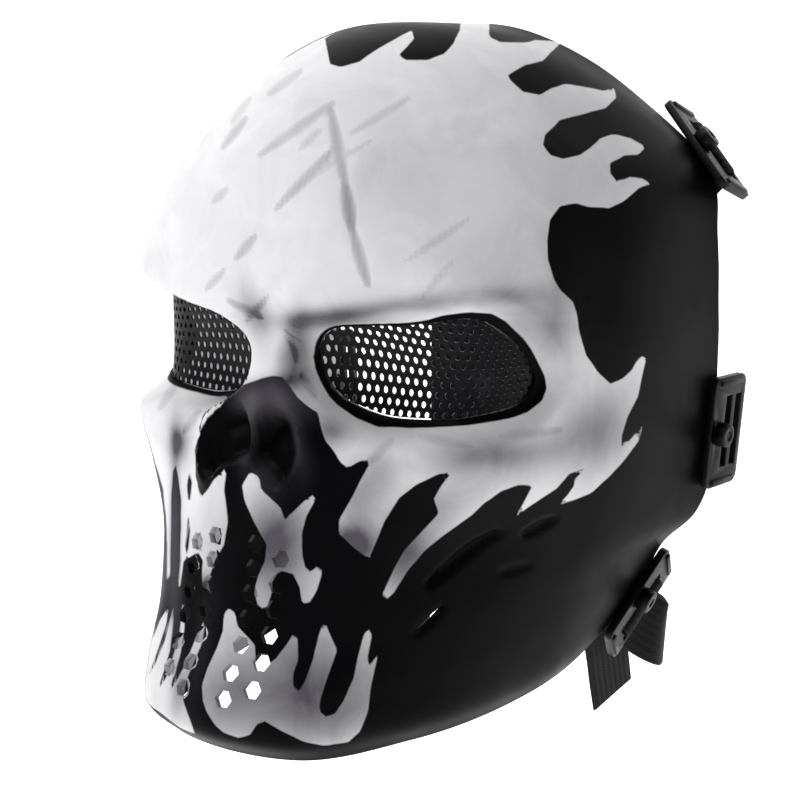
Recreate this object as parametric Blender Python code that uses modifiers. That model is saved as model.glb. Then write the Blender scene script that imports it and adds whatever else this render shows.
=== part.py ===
"""A full-face skull mask: a moulded shell with perforated eye screens and webbing straps.

The wearer looks along -Y, +X is the wearer's left and +Z is up. The origin lies on the inner face
of the forehead, on the middle plane, where the mask bears on a head.
"""
import math
from collections import namedtuple
from functools import cache

import bmesh
import bpy
import numpy as np
from mathutils import Matrix, Vector

MM = 0.001
SIDES = {1: "left", -1: "right"}

# The face: overall sizes that the section table is drawn in
WIDTH = 190 * MM
DEPTH = 200 * MM
HEIGHT = 250 * MM
WALL = 2.6 * MM
CLEARANCE = 0.35 * MM

# Height of the forehead's bearing point above the middle of the face
SEAT_HEIGHT = 75 * MM

# Mesh density of the shell: share of the way where each band ends, and its rows or columns
ROW_BANDS = ((0.47, 7), (0.66, 10), (1.0, 9))
COLUMN_BANDS = ((0.05, 2), (0.54, 13), (1.0, 5))
FINE_ROWS = 160
LINE_POINTS = 120

# Eye opening and socket
EYE_WIDTH = 91 * MM
EYE_HEIGHT = 32 * MM
EYE_MIDDLE_U = 60.5 * MM
EYE_MIDDLE_V = 27 * MM
SOCKET_SLOPE = 10.5 * MM
SOCKET_DEPTH_NOSE = 15 * MM
SOCKET_DEPTH_TEMPLE = 6 * MM

# Perforated eye screen, with its holes at twice the real pitch
SCREEN_THICKNESS = 1.0 * MM
SCREEN_SINK = 0.8 * MM
SCREEN_PITCH = 7.0 * MM
SCREEN_HOLE = 4.6 * MM
SCREEN_RIM = 2.2 * MM
SCREEN_COLUMNS = 10
SCREEN_ROWS = 5
SCREEN_CUT = 5 * MM

# Nose cavity
NOSTRIL_WIDTH = 19 * MM
NOSTRIL_HEIGHT = 25 * MM
NOSTRIL_MIDDLE_U = 10.5 * MM
NOSTRIL_MIDDLE_V = -2.5 * MM
NOSTRIL_DEPTH = 10 * MM
NOSTRIL_SLOPE = 7 * MM

# Breathing holes
HOLE_ACROSS = 5.8 * MM
HOLE_PITCH = 8.3 * MM
INNER_HOLES = 7
OUTER_HOLES = 6
INNER_HOLE_X = 9.3 * MM
OUTER_HOLE_X = 19.2 * MM
INNER_HOLE_TOP = -33.4 * MM
OUTER_HOLE_TOP = -37.4 * MM
SLOT_LENGTH = 14 * MM
SLOT_WIDTH = 2.4 * MM
SLOT_U = 75 * MM
SLOT_V = -59 * MM
SLOT_TURN = 38.0

# Cutters: how far they reach past the surfaces that they cut, and their number of sides
EYE_POINTS = 28
EYE_CUT_OUT = 5 * MM
EYE_CUT_IN = 6 * MM
HOLE_CUT_DEPTH = 30 * MM
SLOT_SIDES = 8
MERGE = 0.05 * MM

# Buckle plates, the same at all six places: X runs to the rear from the middle bar
PLATE_LENGTH = 44 * MM
PLATE_FRONT = 16 * MM
PLATE_REAR = 9 * MM
PLATE_THICKNESS = 3 * MM
PLATE_ROUNDING = 4 * MM
STRAP_SLOT = 4.5 * MM
SLOT_ROOM = 1.2 * MM
MIDDLE_BAR = 3 * MM
RIM_GAP = 6.2 * MM

# Rivets that hold the plates
RIVET_INSET = 10.8 * MM
RIVET_HEAD = 9 * MM
RIVET_RISE = 3.4 * MM
RIVET_SHAFT = 4 * MM
RIVET_TAIL = 7 * MM
RIVET_TAIL_THICKNESS = 1.2 * MM
RIVET_SIDES = 8
FACET_ROOM = 0.4 * MM

# Webbing
WEBBING_WIDTH = 26 * MM
WEBBING_THICKNESS = 1.6 * MM
WEBBING_STEP = 5 * MM
NECK_RUN = 12 * MM

# Pad behind the head
PAD_WIDTH = 118 * MM
PAD_HEIGHT = 92 * MM
PAD_THICKNESS = 4 * MM
PAD_RADIUS = 92 * MM
PAD_BACK = 118 * MM
PAD_MIDDLE = 4 * MM
PAD_STEPS = 8

Section = namedtuple("Section", "z_front z_rear bend y_front x1 y1 x2 y2 x3 y3 x4 y4")

# One row for each section from the crown's rim down to the chin's rim: x is a share of half the
# width, y of the depth and z of the height, and bend is how late the section leaves its front level
SECTIONS = (
    Section(0.564, 0.372, 1.2, 0.140, 0.295, 0.155, 0.547, 0.240, 0.726, 0.350, 0.842, 0.430),
    Section(0.556, 0.336, 1.1, -0.075, 0.305, -0.040, 0.600, 0.085, 0.811, 0.250, 0.916, 0.420),
    Section(0.512, 0.304, 1.0, -0.215, 0.316, -0.180, 0.621, -0.040, 0.863, 0.170, 0.958, 0.400),
    Section(0.432, 0.256, 1.0, -0.350, 0.326, -0.310, 0.642, -0.195, 0.905, 0.090, 0.968, 0.395),
    Section(0.336, 0.200, 1.0, -0.420, 0.337, -0.390, 0.684, -0.285, 0.926, 0.025, 0.979, 0.395),
    Section(0.248, 0.144, 1.0, -0.435, 0.337, -0.410, 0.737, -0.310, 0.942, 0.000, 0.984, 0.395),
    Section(0.176, 0.104, 1.0, -0.420, 0.337, -0.395, 0.747, -0.305, 0.953, -0.010, 0.989, 0.395),
    Section(0.088, 0.048, 1.0, -0.400, 0.295, -0.375, 0.747, -0.305, 0.953, -0.010, 0.989, 0.395),
    Section(-0.012, -0.024, 1.0, -0.435, 0.305, -0.400, 0.716, -0.335, 0.932, -0.010, 0.984, 0.400),
    Section(-0.088, -0.112, 1.0, -0.470, 0.326, -0.430, 0.653, -0.355, 0.895, -0.010, 0.968, 0.410),
    Section(-0.180, -0.188, 1.2, -0.492, 0.358, -0.455, 0.600, -0.360, 0.842, -0.020, 0.926, 0.380),
    Section(-0.256, -0.232, 1.6, -0.517, 0.358, -0.480, 0.568, -0.375, 0.800, -0.030, 0.832, 0.340),
    Section(-0.328, -0.280, 3.0, -0.570, 0.358, -0.520, 0.568, -0.380, 0.758, -0.040, 0.779, 0.320),
    Section(-0.380, -0.316, 5.0, -0.580, 0.347, -0.535, 0.558, -0.380, 0.716, -0.040, 0.737, 0.305),
    Section(-0.420, -0.344, 5.0, -0.530, 0.326, -0.490, 0.526, -0.310, 0.653, -0.010, 0.695, 0.270),
)

Relief = namedtuple("Relief", "u v across up turn lift")

# Swellings and hollows of the face on the unrolled surface: u is the way round from the middle plane
# and across the half width there, as shares of the width, v is the height and up the half height, as
# shares of the height, turn is in degrees, and lift, outward where positive, is a share of the depth
RELIEFS = (
    Relief(0.20, 0.192, 0.137, 0.028, 6, 0.015),
    Relief(0.39, 0.216, 0.084, 0.040, -10, 0.012),
    Relief(0.00, 0.144, 0.053, 0.036, 0, -0.015),
    Relief(0.00, 0.056, 0.037, 0.048, 0, 0.012),
    Relief(0.35, -0.008, 0.147, 0.036, 6, 0.012),
    Relief(0.46, -0.144, 0.126, 0.064, 0, -0.020),
    Relief(0.17, -0.032, 0.042, 0.048, -15, -0.010),
    Relief(0.079, -0.016, 0.063, 0.056, 0, 0.048),
)

Outline = namedtuple("Outline", "across up")

# The eye opening, from its inner corner over the top, as shares of half its width and half its height
EYE_OUTLINE = (
    Outline(-1.00, 0.00),
    Outline(-0.86, 0.36),
    Outline(-0.56, 0.52),
    Outline(-0.20, 0.70),
    Outline(0.16, 0.94),
    Outline(0.50, 1.00),
    Outline(0.78, 0.58),
    Outline(0.94, 0.06),
    Outline(1.00, -0.46),
    Outline(0.85, -0.86),
    Outline(0.45, -0.98),
    Outline(0.00, -1.00),
    Outline(-0.44, -0.99),
    Outline(-0.78, -0.74),
    Outline(-0.94, -0.40),
)

# Half of the nose cavity, from its top down the outer side to its point and up the septum
NOSTRIL_OUTLINE = (
    Outline(-0.22, 0.94),
    Outline(0.22, 0.80),
    Outline(0.60, 0.50),
    Outline(0.95, -0.04),
    Outline(0.86, -0.50),
    Outline(0.48, -0.92),
    Outline(-0.05, -0.62),
    Outline(-0.54, -0.38),
    Outline(-0.92, -0.16),
    Outline(-0.92, 0.26),
    Outline(-0.65, 0.70),
)

Fixing = namedtuple("Fixing", "name down inner_down inset")

# Where each buckle sits: the share of the way down where its strap crosses the rear rim, and the
# place inside the rim that it points away from, by its own share and its distance in
FIXINGS = (
    Fixing("upper", 0.00, 0.055, 8 * MM),
    Fixing("middle", 0.69, 0.690, 10 * MM),
    Fixing("lower", 0.965, 0.935, 8 * MM),
)

Route = namedtuple("Route", "across back up wide_across wide_back wide_up")

# The neck strap's way from the lower left buckle to its middle behind the neck: places as shares of
# half the width, the depth and the height, and the direction of the webbing's width there
NECK_ROUTE = (
    Route(0.71, 0.455, -0.420, 0.00, 0.25, 0.95),
    Route(0.60, 0.545, -0.432, 0.00, 0.10, 1.00),
    Route(0.35, 0.620, -0.438, 0.00, 0.00, 1.00),
    Route(0.00, 0.650, -0.440, 0.00, 0.00, 1.00),
)

# The free end of the neck strap, from its tip to the buckle
STRAP_TAIL = (
    Route(0.516, 0.420, -0.532, 0.15, 0.95, 0.28),
    Route(0.526, 0.385, -0.448, 0.18, 0.88, 0.42),
    Route(0.558, 0.345, -0.368, 0.20, 0.75, 0.62),
)

PadEnd = namedtuple("PadEnd", "angle_share up_share slope runs")

# Where an upper strap is sewn to the pad's outer face: shares of half the pad's width and height, how
# steeply it runs down on to it, in degrees, and its stations there in half widths from the tip
PAD_END = PadEnd(0.60, 0.86, 45.0, (2.2, 1.4, 0.7, 0.0))


def slopes(knots, values):
    """Slope at each knot of the smooth curve through the values."""
    steps = np.diff(knots)
    rates = np.diff(values, axis=0) / steps.reshape((-1,) + (1,) * (values.ndim - 1))
    result = np.empty_like(values)
    result[0], result[-1] = rates[0], rates[-1]
    for i in range(1, len(knots) - 1):
        before, after = steps[i - 1], steps[i]
        result[i] = (rates[i - 1] * after + rates[i] * before) / (before + after)
    return result


def smooth(knots, values, at):
    """Values of the smooth curve through the given ones, read at the places in at."""
    knots, values, at = (np.asarray(a, float) for a in (knots, values, at))
    tangents = slopes(knots, values)
    i = np.clip(np.searchsorted(knots, at, side="right") - 1, 0, len(knots) - 2)
    step = knots[i + 1] - knots[i]
    f = (at - knots[i]) / step
    shape = (-1,) + (1,) * (values.ndim - 1)
    f, step = f.reshape(shape), step.reshape(shape)
    start, end = values[i], values[i + 1]
    h00 = (1 + 2 * f) * (1 - f) ** 2
    h01 = f * f * (3 - 2 * f)
    h10 = f * (1 - f) ** 2
    h11 = f * f * (f - 1)
    return h00 * start + h01 * end + step * (h10 * tangents[i] + h11 * tangents[i + 1])


def section_at(down):
    """The section at a share of the way from the crown to the chin, along the middle plane."""
    table = np.array(SECTIONS)
    heights, fronts = table[:, 0] * HEIGHT, table[:, 3] * DEPTH
    way = np.concatenate([[0], np.cumsum(np.hypot(np.diff(heights), np.diff(fronts)))])
    return smooth(way / way[-1], table, down)


def row_line(section):
    """One section as a fine line from the middle plane to the rear rim, and the length along it."""
    half = WIDTH / 2
    _, _, _, y_front, x1, y1, x2, y2, x3, y3, x4, y4 = section
    xs = np.array([-x1, 0.0, x1, x2, x3, x4]) * half
    ys = np.array([y1, y_front, y1, y2, y3, y4]) * DEPTH
    way = np.concatenate([[0], np.cumsum(np.hypot(np.diff(xs), np.diff(ys)))])
    line = smooth(way, np.stack([xs, ys], 1), np.linspace(way[1], way[-1], LINE_POINTS))
    length = np.concatenate([[0], np.cumsum(np.hypot(*np.diff(line, axis=0).T))])
    z_front, z_rear, bend = section[0] * HEIGHT, section[1] * HEIGHT, section[2]
    back = np.clip((line[:, 1] - line[0, 1]) / (line[-1, 1] - line[0, 1]), 0, 1)
    z = z_front + (z_rear - z_front) * back ** bend
    return np.column_stack([line, z]), length


def along(line, length, at):
    """Points of a fine line at lengths along it."""
    return np.stack([np.interp(at, length, line[:, i]) for i in range(3)], -1)


def rim_point(down, inset=0.0):
    """Point at a length in from the rear rim, on the section at a share of the way down."""
    line, length = row_line(section_at([down])[0])
    return along(line, length, length[-1] - inset)


@cache
def fine_rows():
    """Closely spaced lines of the unshaped face, from the crown to the chin, with their lengths."""
    return [row_line(section) for section in section_at(np.linspace(0, 1, FINE_ROWS))]


def base_grid(us, vs):
    """Points of the unshaped face over a rectangle of the unrolled surface, a row for each of vs."""
    lines = np.array([along(line, length, us) for line, length in fine_rows()])
    grid = np.empty((len(vs), len(us), 3))
    for j in range(len(us)):
        for axis in range(3):
            grid[:, j, axis] = np.interp(-np.array(vs), -lines[:, j, 2], lines[:, j, axis])
    return grid


def base_point(u, v):
    """Point of the unshaped face at a place on the unrolled surface."""
    return base_grid([u], [v])[0, 0]


def base_normal(u, v):
    """Outward normal of the unshaped face at a place on the unrolled surface."""
    step = 1.5 * MM
    corners = base_grid([u - step, u + step], [v + step, v - step])
    normal = np.cross(corners[0, 1] - corners[1, 0], corners[0, 0] - corners[1, 1])
    return normal / np.linalg.norm(normal)


def step_up(x):
    """Smooth step from 0 to 1."""
    x = np.clip(x, 0, 1)
    return x * x * (3 - 2 * x)


def outline_points(table, width, height, middle_u, middle_v, count, grow=0.0):
    """A closed smooth outline on the unrolled face, from its table of shares."""
    points = np.array(table)
    closed = np.concatenate([points[-2:], points, points[:3]])
    places = np.arange(-2, len(points) + 3)
    loop = smooth(places, closed, np.arange(count) * len(points) / count)
    return loop * (width / 2 + grow, height / 2 + grow) + (middle_u, middle_v)


def eye_outline(count, grow=0.0):
    """The eye opening's outline on the unrolled face."""
    return outline_points(EYE_OUTLINE, EYE_WIDTH, EYE_HEIGHT, EYE_MIDDLE_U, EYE_MIDDLE_V, count, grow)


def nostril_outline(count):
    """The outline of half the nose cavity on the unrolled face."""
    return outline_points(NOSTRIL_OUTLINE, NOSTRIL_WIDTH, NOSTRIL_HEIGHT, NOSTRIL_MIDDLE_U,
                          NOSTRIL_MIDDLE_V, count)


def distance_inside(points, loop):
    """Signed distance of points to a closed outline, positive inside it."""
    start, end = loop, np.roll(loop, -1, axis=0)
    edge = end - start
    rel = points[:, None, :] - start[None]
    share = np.clip((rel * edge).sum(-1) / (edge * edge).sum(-1), 0, 1)
    gap = np.linalg.norm(rel - share[..., None] * edge, axis=-1).min(1)
    y, y0, y1 = points[:, 1, None], start[None, :, 1], end[None, :, 1]
    crosses = (y0 > y) != (y1 > y)
    with np.errstate(divide="ignore", invalid="ignore"):
        x_cross = start[None, :, 0] + (y - y0) * edge[None, :, 0] / (y1 - y0)
    odd = (crosses & (points[:, 0, None] < x_cross)).sum(1) % 2
    return np.where(odd == 1, gap, -gap)


def socket_depth(u):
    """Depth of the eye socket's floor below the face, from the nose side to the temple side."""
    outward = (u - EYE_MIDDLE_U) / EYE_WIDTH + 0.5
    return SOCKET_DEPTH_NOSE + (SOCKET_DEPTH_TEMPLE - SOCKET_DEPTH_NOSE) * step_up(outward)


def relief_lift(uv):
    """Outward lift of the face from its swellings and hollows."""
    lift = np.zeros(len(uv))
    for r in RELIEFS:
        c, s = math.cos(math.radians(r.turn)), math.sin(math.radians(r.turn))
        du, dv = uv[:, 0] - r.u * WIDTH, uv[:, 1] - r.v * HEIGHT
        a = (du * c + dv * s) / (r.across * WIDTH)
        b = (dv * c - du * s) / (r.up * HEIGHT)
        lift += r.lift * DEPTH * np.exp(-(a * a + b * b))
    return lift


def lift_at(uv):
    """Outward lift of the face at places on the unrolled surface."""
    eye = distance_inside(uv, eye_outline(60))
    nose = distance_inside(uv, nostril_outline(40))
    lift = relief_lift(uv)
    lift -= socket_depth(uv[:, 0]) * step_up((eye + SOCKET_SLOPE) / SOCKET_SLOPE)
    lift -= NOSTRIL_DEPTH * step_up((nose + NOSTRIL_SLOPE / 2) / NOSTRIL_SLOPE)
    return lift


def grid_normals(grid):
    """Outward unit normals of a grid of points, rows down and columns out to the rim."""
    down = np.gradient(grid, axis=0)
    out = np.gradient(grid, axis=1)
    normal = np.cross(down, out)
    return normal / np.linalg.norm(normal, axis=-1, keepdims=True)


def banded(bands):
    """Shares from 0 to 1, evenly spaced within each band."""
    shares, start = [0.0], 0.0
    for end, count in bands:
        shares += [start + (end - start) * (i + 1) / count for i in range(count)]
        start = end
    return np.array(shares)


def shaped_grid(downs, shares):
    """The wearer's left half of the face as a grid of points, with their unrolled places."""
    points, places = [], []
    for down in downs:
        line, length = row_line(section_at([down])[0])
        at = shares * length[-1]
        point = along(line, length, at)
        points.append(point)
        places.append(np.stack([at, point[:, 2]], 1))
    grid, places = np.array(points), np.array(places)
    normals = grid_normals(grid)
    normals[:, 0, 0] = 0
    lift = lift_at(places.reshape(-1, 2)).reshape(grid.shape[:2])
    shaped = grid + normals * lift[..., None]
    shaped[:, 0, 0] = 0
    return shaped, places


def seat():
    """The bearing point on the inner face of the forehead."""
    return base_point(0.0, SEAT_HEIGHT) + (0.0, WALL, 0.0)


def material(name, colour, roughness, metallic=0.0):
    """A plain Principled material."""
    made = bpy.data.materials.new(name)
    made.use_nodes = True
    shader = made.node_tree.nodes["Principled BSDF"]
    shader.inputs["Base Color"].default_value = (*colour, 1.0)
    shader.inputs["Roughness"].default_value = roughness
    shader.inputs["Metallic"].default_value = metallic
    return made


class Workshop:
    """The collections, the materials and the empty that carries every object to its place."""

    def __init__(self):
        for thing in list(bpy.data.objects):
            bpy.data.objects.remove(thing, do_unlink=True)
        self.parts = self.collection("skull_mask")
        self.cutters = self.collection("cutters")
        self.holder = bpy.data.objects.new("seat_frame", None)
        self.holder.location = -Vector(seat())
        self.parts.objects.link(self.holder)
        self.plastic = material("white_plastic", (0.72, 0.71, 0.73), 0.45)
        self.steel = material("black_screen", (0.02, 0.02, 0.02), 0.40, 0.6)
        self.black = material("black_fittings", (0.015, 0.013, 0.016), 0.38)
        self.webbing = material("black_webbing", (0.02, 0.02, 0.025), 0.85)

    @staticmethod
    def collection(name):
        """A new collection in the scene."""
        made = bpy.data.collections.new(name)
        bpy.context.scene.collection.children.link(made)
        return made

    def part(self, name, mesh, made, frame=None):
        """Adds a named part of the mask."""
        thing = bpy.data.objects.new(name, mesh)
        mesh.materials.append(made)
        self.parts.objects.link(thing)
        thing.parent = self.holder
        thing.matrix_basis = frame or Matrix()
        return thing

    def cutter(self, name, meshes):
        """Adds a hidden wire object made of several cutting solids."""
        build = bmesh.new()
        for mesh in meshes:
            build.from_mesh(mesh)
            bpy.data.meshes.remove(mesh)
        whole = bpy.data.meshes.new(name)
        build.to_mesh(whole)
        build.free()
        thing = bpy.data.objects.new(name, whole)
        self.cutters.objects.link(thing)
        thing.parent = self.holder
        thing.hide_render = True
        thing.display_type = "WIRE"
        return thing


def mirrored(point):
    """The mirror image of a point or direction across the middle plane."""
    return np.array([-point[0], point[1], point[2]])


def finished(build, name):
    """The mesh of a built solid, its faces turned outward."""
    bmesh.ops.recalc_face_normals(build, faces=build.faces)
    mesh = bpy.data.meshes.new(name)
    build.to_mesh(mesh)
    build.free()
    return mesh


def sheet(name, grid):
    """An open surface through a grid of points."""
    build = bmesh.new()
    rows = [[build.verts.new(p) for p in row] for row in grid]
    for upper, lower in zip(rows, rows[1:]):
        for j in range(len(upper) - 1):
            build.faces.new((upper[j], lower[j], lower[j + 1], upper[j + 1]))
    mesh = bpy.data.meshes.new(name)
    build.to_mesh(mesh)
    build.free()
    return mesh


def lofted(name, rings):
    """A closed solid through rings with equal numbers of points, its ends closed by cross strips."""
    build = bmesh.new()
    loops = [[build.verts.new(p) for p in ring] for ring in rings]
    count = len(loops[0])
    for first, second in zip(loops, loops[1:]):
        for i in range(count):
            j = (i + 1) % count
            build.faces.new((first[i], first[j], second[j], second[i]))
    for loop in (loops[0], loops[-1]):
        for i in range(count // 2):
            strip = (loop[i], loop[i + 1], loop[(count - i - 1) % count], loop[(count - i) % count])
            build.faces.new(dict.fromkeys(strip))
    return finished(build, name)


def prism(name, centre, axis, corner_way, radius_x, radius_y, sides, depth):
    """A prism about an axis through a point, one of its corners lying towards a direction."""
    axis = Vector(axis).normalized()
    x = Vector(corner_way)
    x = (x - axis * x.dot(axis)).normalized()
    place = Matrix((x * radius_x, axis.cross(x) * radius_y, axis)).transposed().to_4x4()
    place.translation = Vector(centre)
    build = bmesh.new()
    bmesh.ops.create_cone(build, cap_ends=True, segments=sides, radius1=1, radius2=1, depth=depth)
    bmesh.ops.transform(build, matrix=place, verts=build.verts)
    return finished(build, name)


def box(name, size, place):
    """A box of a given size, put in its place by a matrix."""
    build = bmesh.new()
    bmesh.ops.create_cube(build, size=1)
    bmesh.ops.transform(build, matrix=place @ Matrix.Diagonal((*size, 1)), verts=build.verts)
    return finished(build, name)


def boolean(thing, cutter, operation="DIFFERENCE"):
    """Cuts a part with a cutter, or keeps what lies inside it."""
    cut = thing.modifiers.new(cutter.name, "BOOLEAN")
    cut.operation = operation
    cut.object = cutter
    cut.solver = "EXACT"


def thicken(thing, thickness, offset):
    """Gives an open surface its wall."""
    wall = thing.modifiers.new("wall", "SOLIDIFY")
    wall.thickness = thickness
    wall.offset = offset


def eye_plug(side, grow):
    """A solid through one eye opening, its walls square to the face."""
    outer, inner = [], []
    for u, v in eye_outline(EYE_POINTS, grow):
        point, normal = base_point(u, v), base_normal(u, v)
        floor = point - normal * socket_depth(u)
        outer.append(floor + normal * EYE_CUT_OUT)
        inner.append(floor - normal * (WALL + EYE_CUT_IN))
    if side < 0:
        outer, inner = [mirrored(p) for p in outer], [mirrored(p) for p in inner]
    return lofted("eye_plug", [outer, inner])


def breathing_places():
    """Middles of the hexagonal holes over the mouth, on the unrolled face."""
    inner = [(INNER_HOLE_X, INNER_HOLE_TOP - HOLE_PITCH * i) for i in range(INNER_HOLES)]
    outer = [(OUTER_HOLE_X, OUTER_HOLE_TOP - HOLE_PITCH * i) for i in range(OUTER_HOLES)]
    return inner + outer


def breathing_cutters():
    """Prisms for the mouth holes and the cheek slots, on both sides."""
    meshes = []
    up = np.array([0.0, 0.0, 1.0])
    radius = HOLE_ACROSS / math.sqrt(3)
    turn = math.radians(SLOT_TURN)
    slot_point, slot_normal = base_point(SLOT_U, SLOT_V), base_normal(SLOT_U, SLOT_V)
    rearward = np.cross(up, slot_normal)
    slant = rearward * math.cos(turn) + up * math.sin(turn)
    for flip in (np.array, mirrored):
        for u, v in breathing_places():
            point, normal = flip(base_point(u, v)), flip(base_normal(u, v))
            meshes.append(prism("hole", point, normal, up, radius, radius, 6, HOLE_CUT_DEPTH))
        meshes.append(prism("slot", flip(slot_point), flip(slot_normal), flip(slant), SLOT_LENGTH / 2,
                            SLOT_WIDTH / 2, SLOT_SIDES, HOLE_CUT_DEPTH))
    return meshes


def make_shell(shop, frames):
    """The moulded shell: a mirrored half with its wall, pierced by all its openings."""
    grid, _ = shaped_grid(banded(ROW_BANDS), banded(COLUMN_BANDS))
    shell = shop.part("shell", sheet("shell", grid), shop.plastic)
    mirror = shell.modifiers.new("other_half", "MIRROR")
    mirror.merge_threshold = MERGE
    thicken(shell, WALL, -1)
    boolean(shell, shop.cutter("eye_openings", [eye_plug(side, 0.0) for side in (1, -1)]))
    boolean(shell, shop.cutter("breathing_openings", breathing_cutters()))
    shafts = [prism("shaft", *rivet_axis(frame), (0, 0, 1), RIVET_SHAFT / 2 + CLEARANCE,
                    RIVET_SHAFT / 2 + CLEARANCE, RIVET_SIDES, HOLE_CUT_DEPTH) for frame in frames]
    boolean(shell, shop.cutter("rivet_holes", shafts))


def socket_floor():
    """A grid of points over the eye socket's sunk floor, with its unrolled places."""
    us = np.linspace(-1, 1, SCREEN_COLUMNS) * (EYE_WIDTH / 2 + EYE_CUT_IN) + EYE_MIDDLE_U
    vs = np.linspace(1, -1, SCREEN_ROWS) * (EYE_HEIGHT / 2 + EYE_CUT_IN) + EYE_MIDDLE_V
    base = base_grid(us, vs)
    down = socket_depth(us) + SCREEN_SINK
    return base - grid_normals(base) * down[None, :, None], us, vs


def screen_places():
    """Middles of an eye screen's holes, evenly staggered along its own sunk surface."""
    floor, us, vs = socket_floor()
    row_step = SCREEN_PITCH * math.sqrt(3) / 2
    rows = int(EYE_HEIGHT / 2 / row_step)
    columns = int(EYE_WIDTH / 2 / SCREEN_PITCH) + 1
    places = []
    for i in range(-rows, rows + 1):
        v = EYE_MIDDLE_V + i * row_step
        line = floor[np.abs(vs - v).argmin()]
        way = np.concatenate([[0], np.cumsum(np.linalg.norm(np.diff(line, axis=0), axis=1))])
        shift = 0.5 if i % 2 else 0.0
        at = way[-1] / 2 + (np.arange(-columns, columns + 1) + shift) * SCREEN_PITCH
        places += [(u, v) for u in np.interp(at, way, us)]
    places = np.array(places)
    room = distance_inside(places, eye_outline(EYE_POINTS))
    return places[room > SCREEN_RIM + SCREEN_HOLE / 2]


def make_screen(shop, name, side):
    """The perforated screen in one eye opening."""
    flip = np.array if side > 0 else mirrored
    grid, _, _ = socket_floor()
    if side < 0:
        grid = (grid * (-1, 1, 1))[:, ::-1]
    screen = shop.part(name, sheet(name, grid), shop.steel)
    thicken(screen, SCREEN_THICKNESS, -1)
    boolean(screen, shop.cutter(name + "_outline", [eye_plug(side, -CLEARANCE)]), "INTERSECT")
    holes = []
    radius = SCREEN_HOLE / math.sqrt(3)
    for u, v in screen_places():
        point, normal = base_point(u, v), base_normal(u, v)
        middle = point - normal * (socket_depth(u) + SCREEN_SINK)
        holes.append(prism("hole", flip(middle), flip(normal), (0, 0, 1), radius, radius, 6, SCREEN_CUT))
    boolean(screen, shop.cutter(name + "_holes", holes))


def fixing_frame(fixing, side):
    """A buckle's frame: origin at its middle bar, X away from the shell, Y along the bar, Z outward."""
    step = 0.01
    edge, inner = rim_point(fixing.down), rim_point(fixing.inner_down, fixing.inset)
    across = inner - rim_point(fixing.inner_down, fixing.inset + fixing.inset / 2)
    down = rim_point(fixing.inner_down, fixing.inset) - rim_point(fixing.inner_down - step, fixing.inset)
    z = Vector(np.cross(down, across)).normalized()
    x = Vector(edge - inner)
    x = (x - z * x.dot(z)).normalized()
    y = z.cross(x)
    frame = Matrix((x, y, z)).transposed().to_4x4()
    frame.translation = Vector(edge) + x * RIM_GAP
    if side < 0:
        frame = Matrix.Diagonal((-1, 1, 1, 1)) @ frame @ Matrix.Diagonal((1, -1, 1, 1))
    return frame


def rivet_axis(frame):
    """A point on the axis of a buckle's rivet, and the axis."""
    return frame @ Vector((-RIVET_INSET, 0, 0)), frame.col[2].to_3d()


def face_under(frame, front, rear, half_length):
    """Lowest and highest of the face under a stretch of a buckle's frame."""
    points = np.concatenate([line for line, _ in fine_rows()])
    side = 1 if frame.translation.x > 0 else -1
    points = points * (side, 1, 1)
    into = np.array(frame.inverted())
    local = points @ into[:3, :3].T + into[:3, 3]
    near = (local[:, 0] > front) & (local[:, 0] < rear) & (abs(local[:, 1]) < half_length)
    heights = local[near & (abs(local[:, 2]) < half_length), 2]
    return heights.min(), heights.max()


def plate_base(frame):
    """Height of a plate's underside in its frame, just clear of the face."""
    _, high = face_under(frame, -PLATE_FRONT, PLATE_REAR, PLATE_LENGTH / 2)
    return max(high, 0.0) + CLEARANCE


def make_plate(shop, name, frame):
    """A flat buckle plate with two strap slots, a middle bar between them and a rivet hole."""
    low = plate_base(frame)
    place = Matrix.Translation(((PLATE_REAR - PLATE_FRONT) / 2, 0, low + PLATE_THICKNESS / 2))
    build = bmesh.new()
    bmesh.ops.create_cube(build, size=1)
    size = Matrix.Diagonal((PLATE_FRONT + PLATE_REAR, PLATE_LENGTH, PLATE_THICKNESS, 1))
    bmesh.ops.transform(build, matrix=place @ size, verts=build.verts)
    upright = [e for e in build.edges if abs(e.verts[0].co.z - e.verts[1].co.z) > PLATE_THICKNESS / 2]
    bmesh.ops.bevel(build, geom=upright, offset=PLATE_ROUNDING, segments=3, profile=0.5, affect="EDGES")
    plate = shop.part(name, finished(build, name), shop.black, frame)
    slot_size = (STRAP_SLOT, WEBBING_WIDTH + 2 * SLOT_ROOM, 3 * PLATE_THICKNESS)
    slots = []
    for way in (-1, 1):
        middle = Matrix.Translation((way * (MIDDLE_BAR + STRAP_SLOT) / 2, 0, low + PLATE_THICKNESS / 2))
        slots.append(box("slot", slot_size, frame @ middle))
    radius = RIVET_SHAFT / 2 + CLEARANCE
    point, axis = rivet_axis(frame)
    slots.append(prism("shaft", point, axis, frame.col[0].to_3d(), radius, radius, RIVET_SIDES,
                       HOLE_CUT_DEPTH))
    boolean(plate, shop.cutter(name + "_openings", slots))


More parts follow.
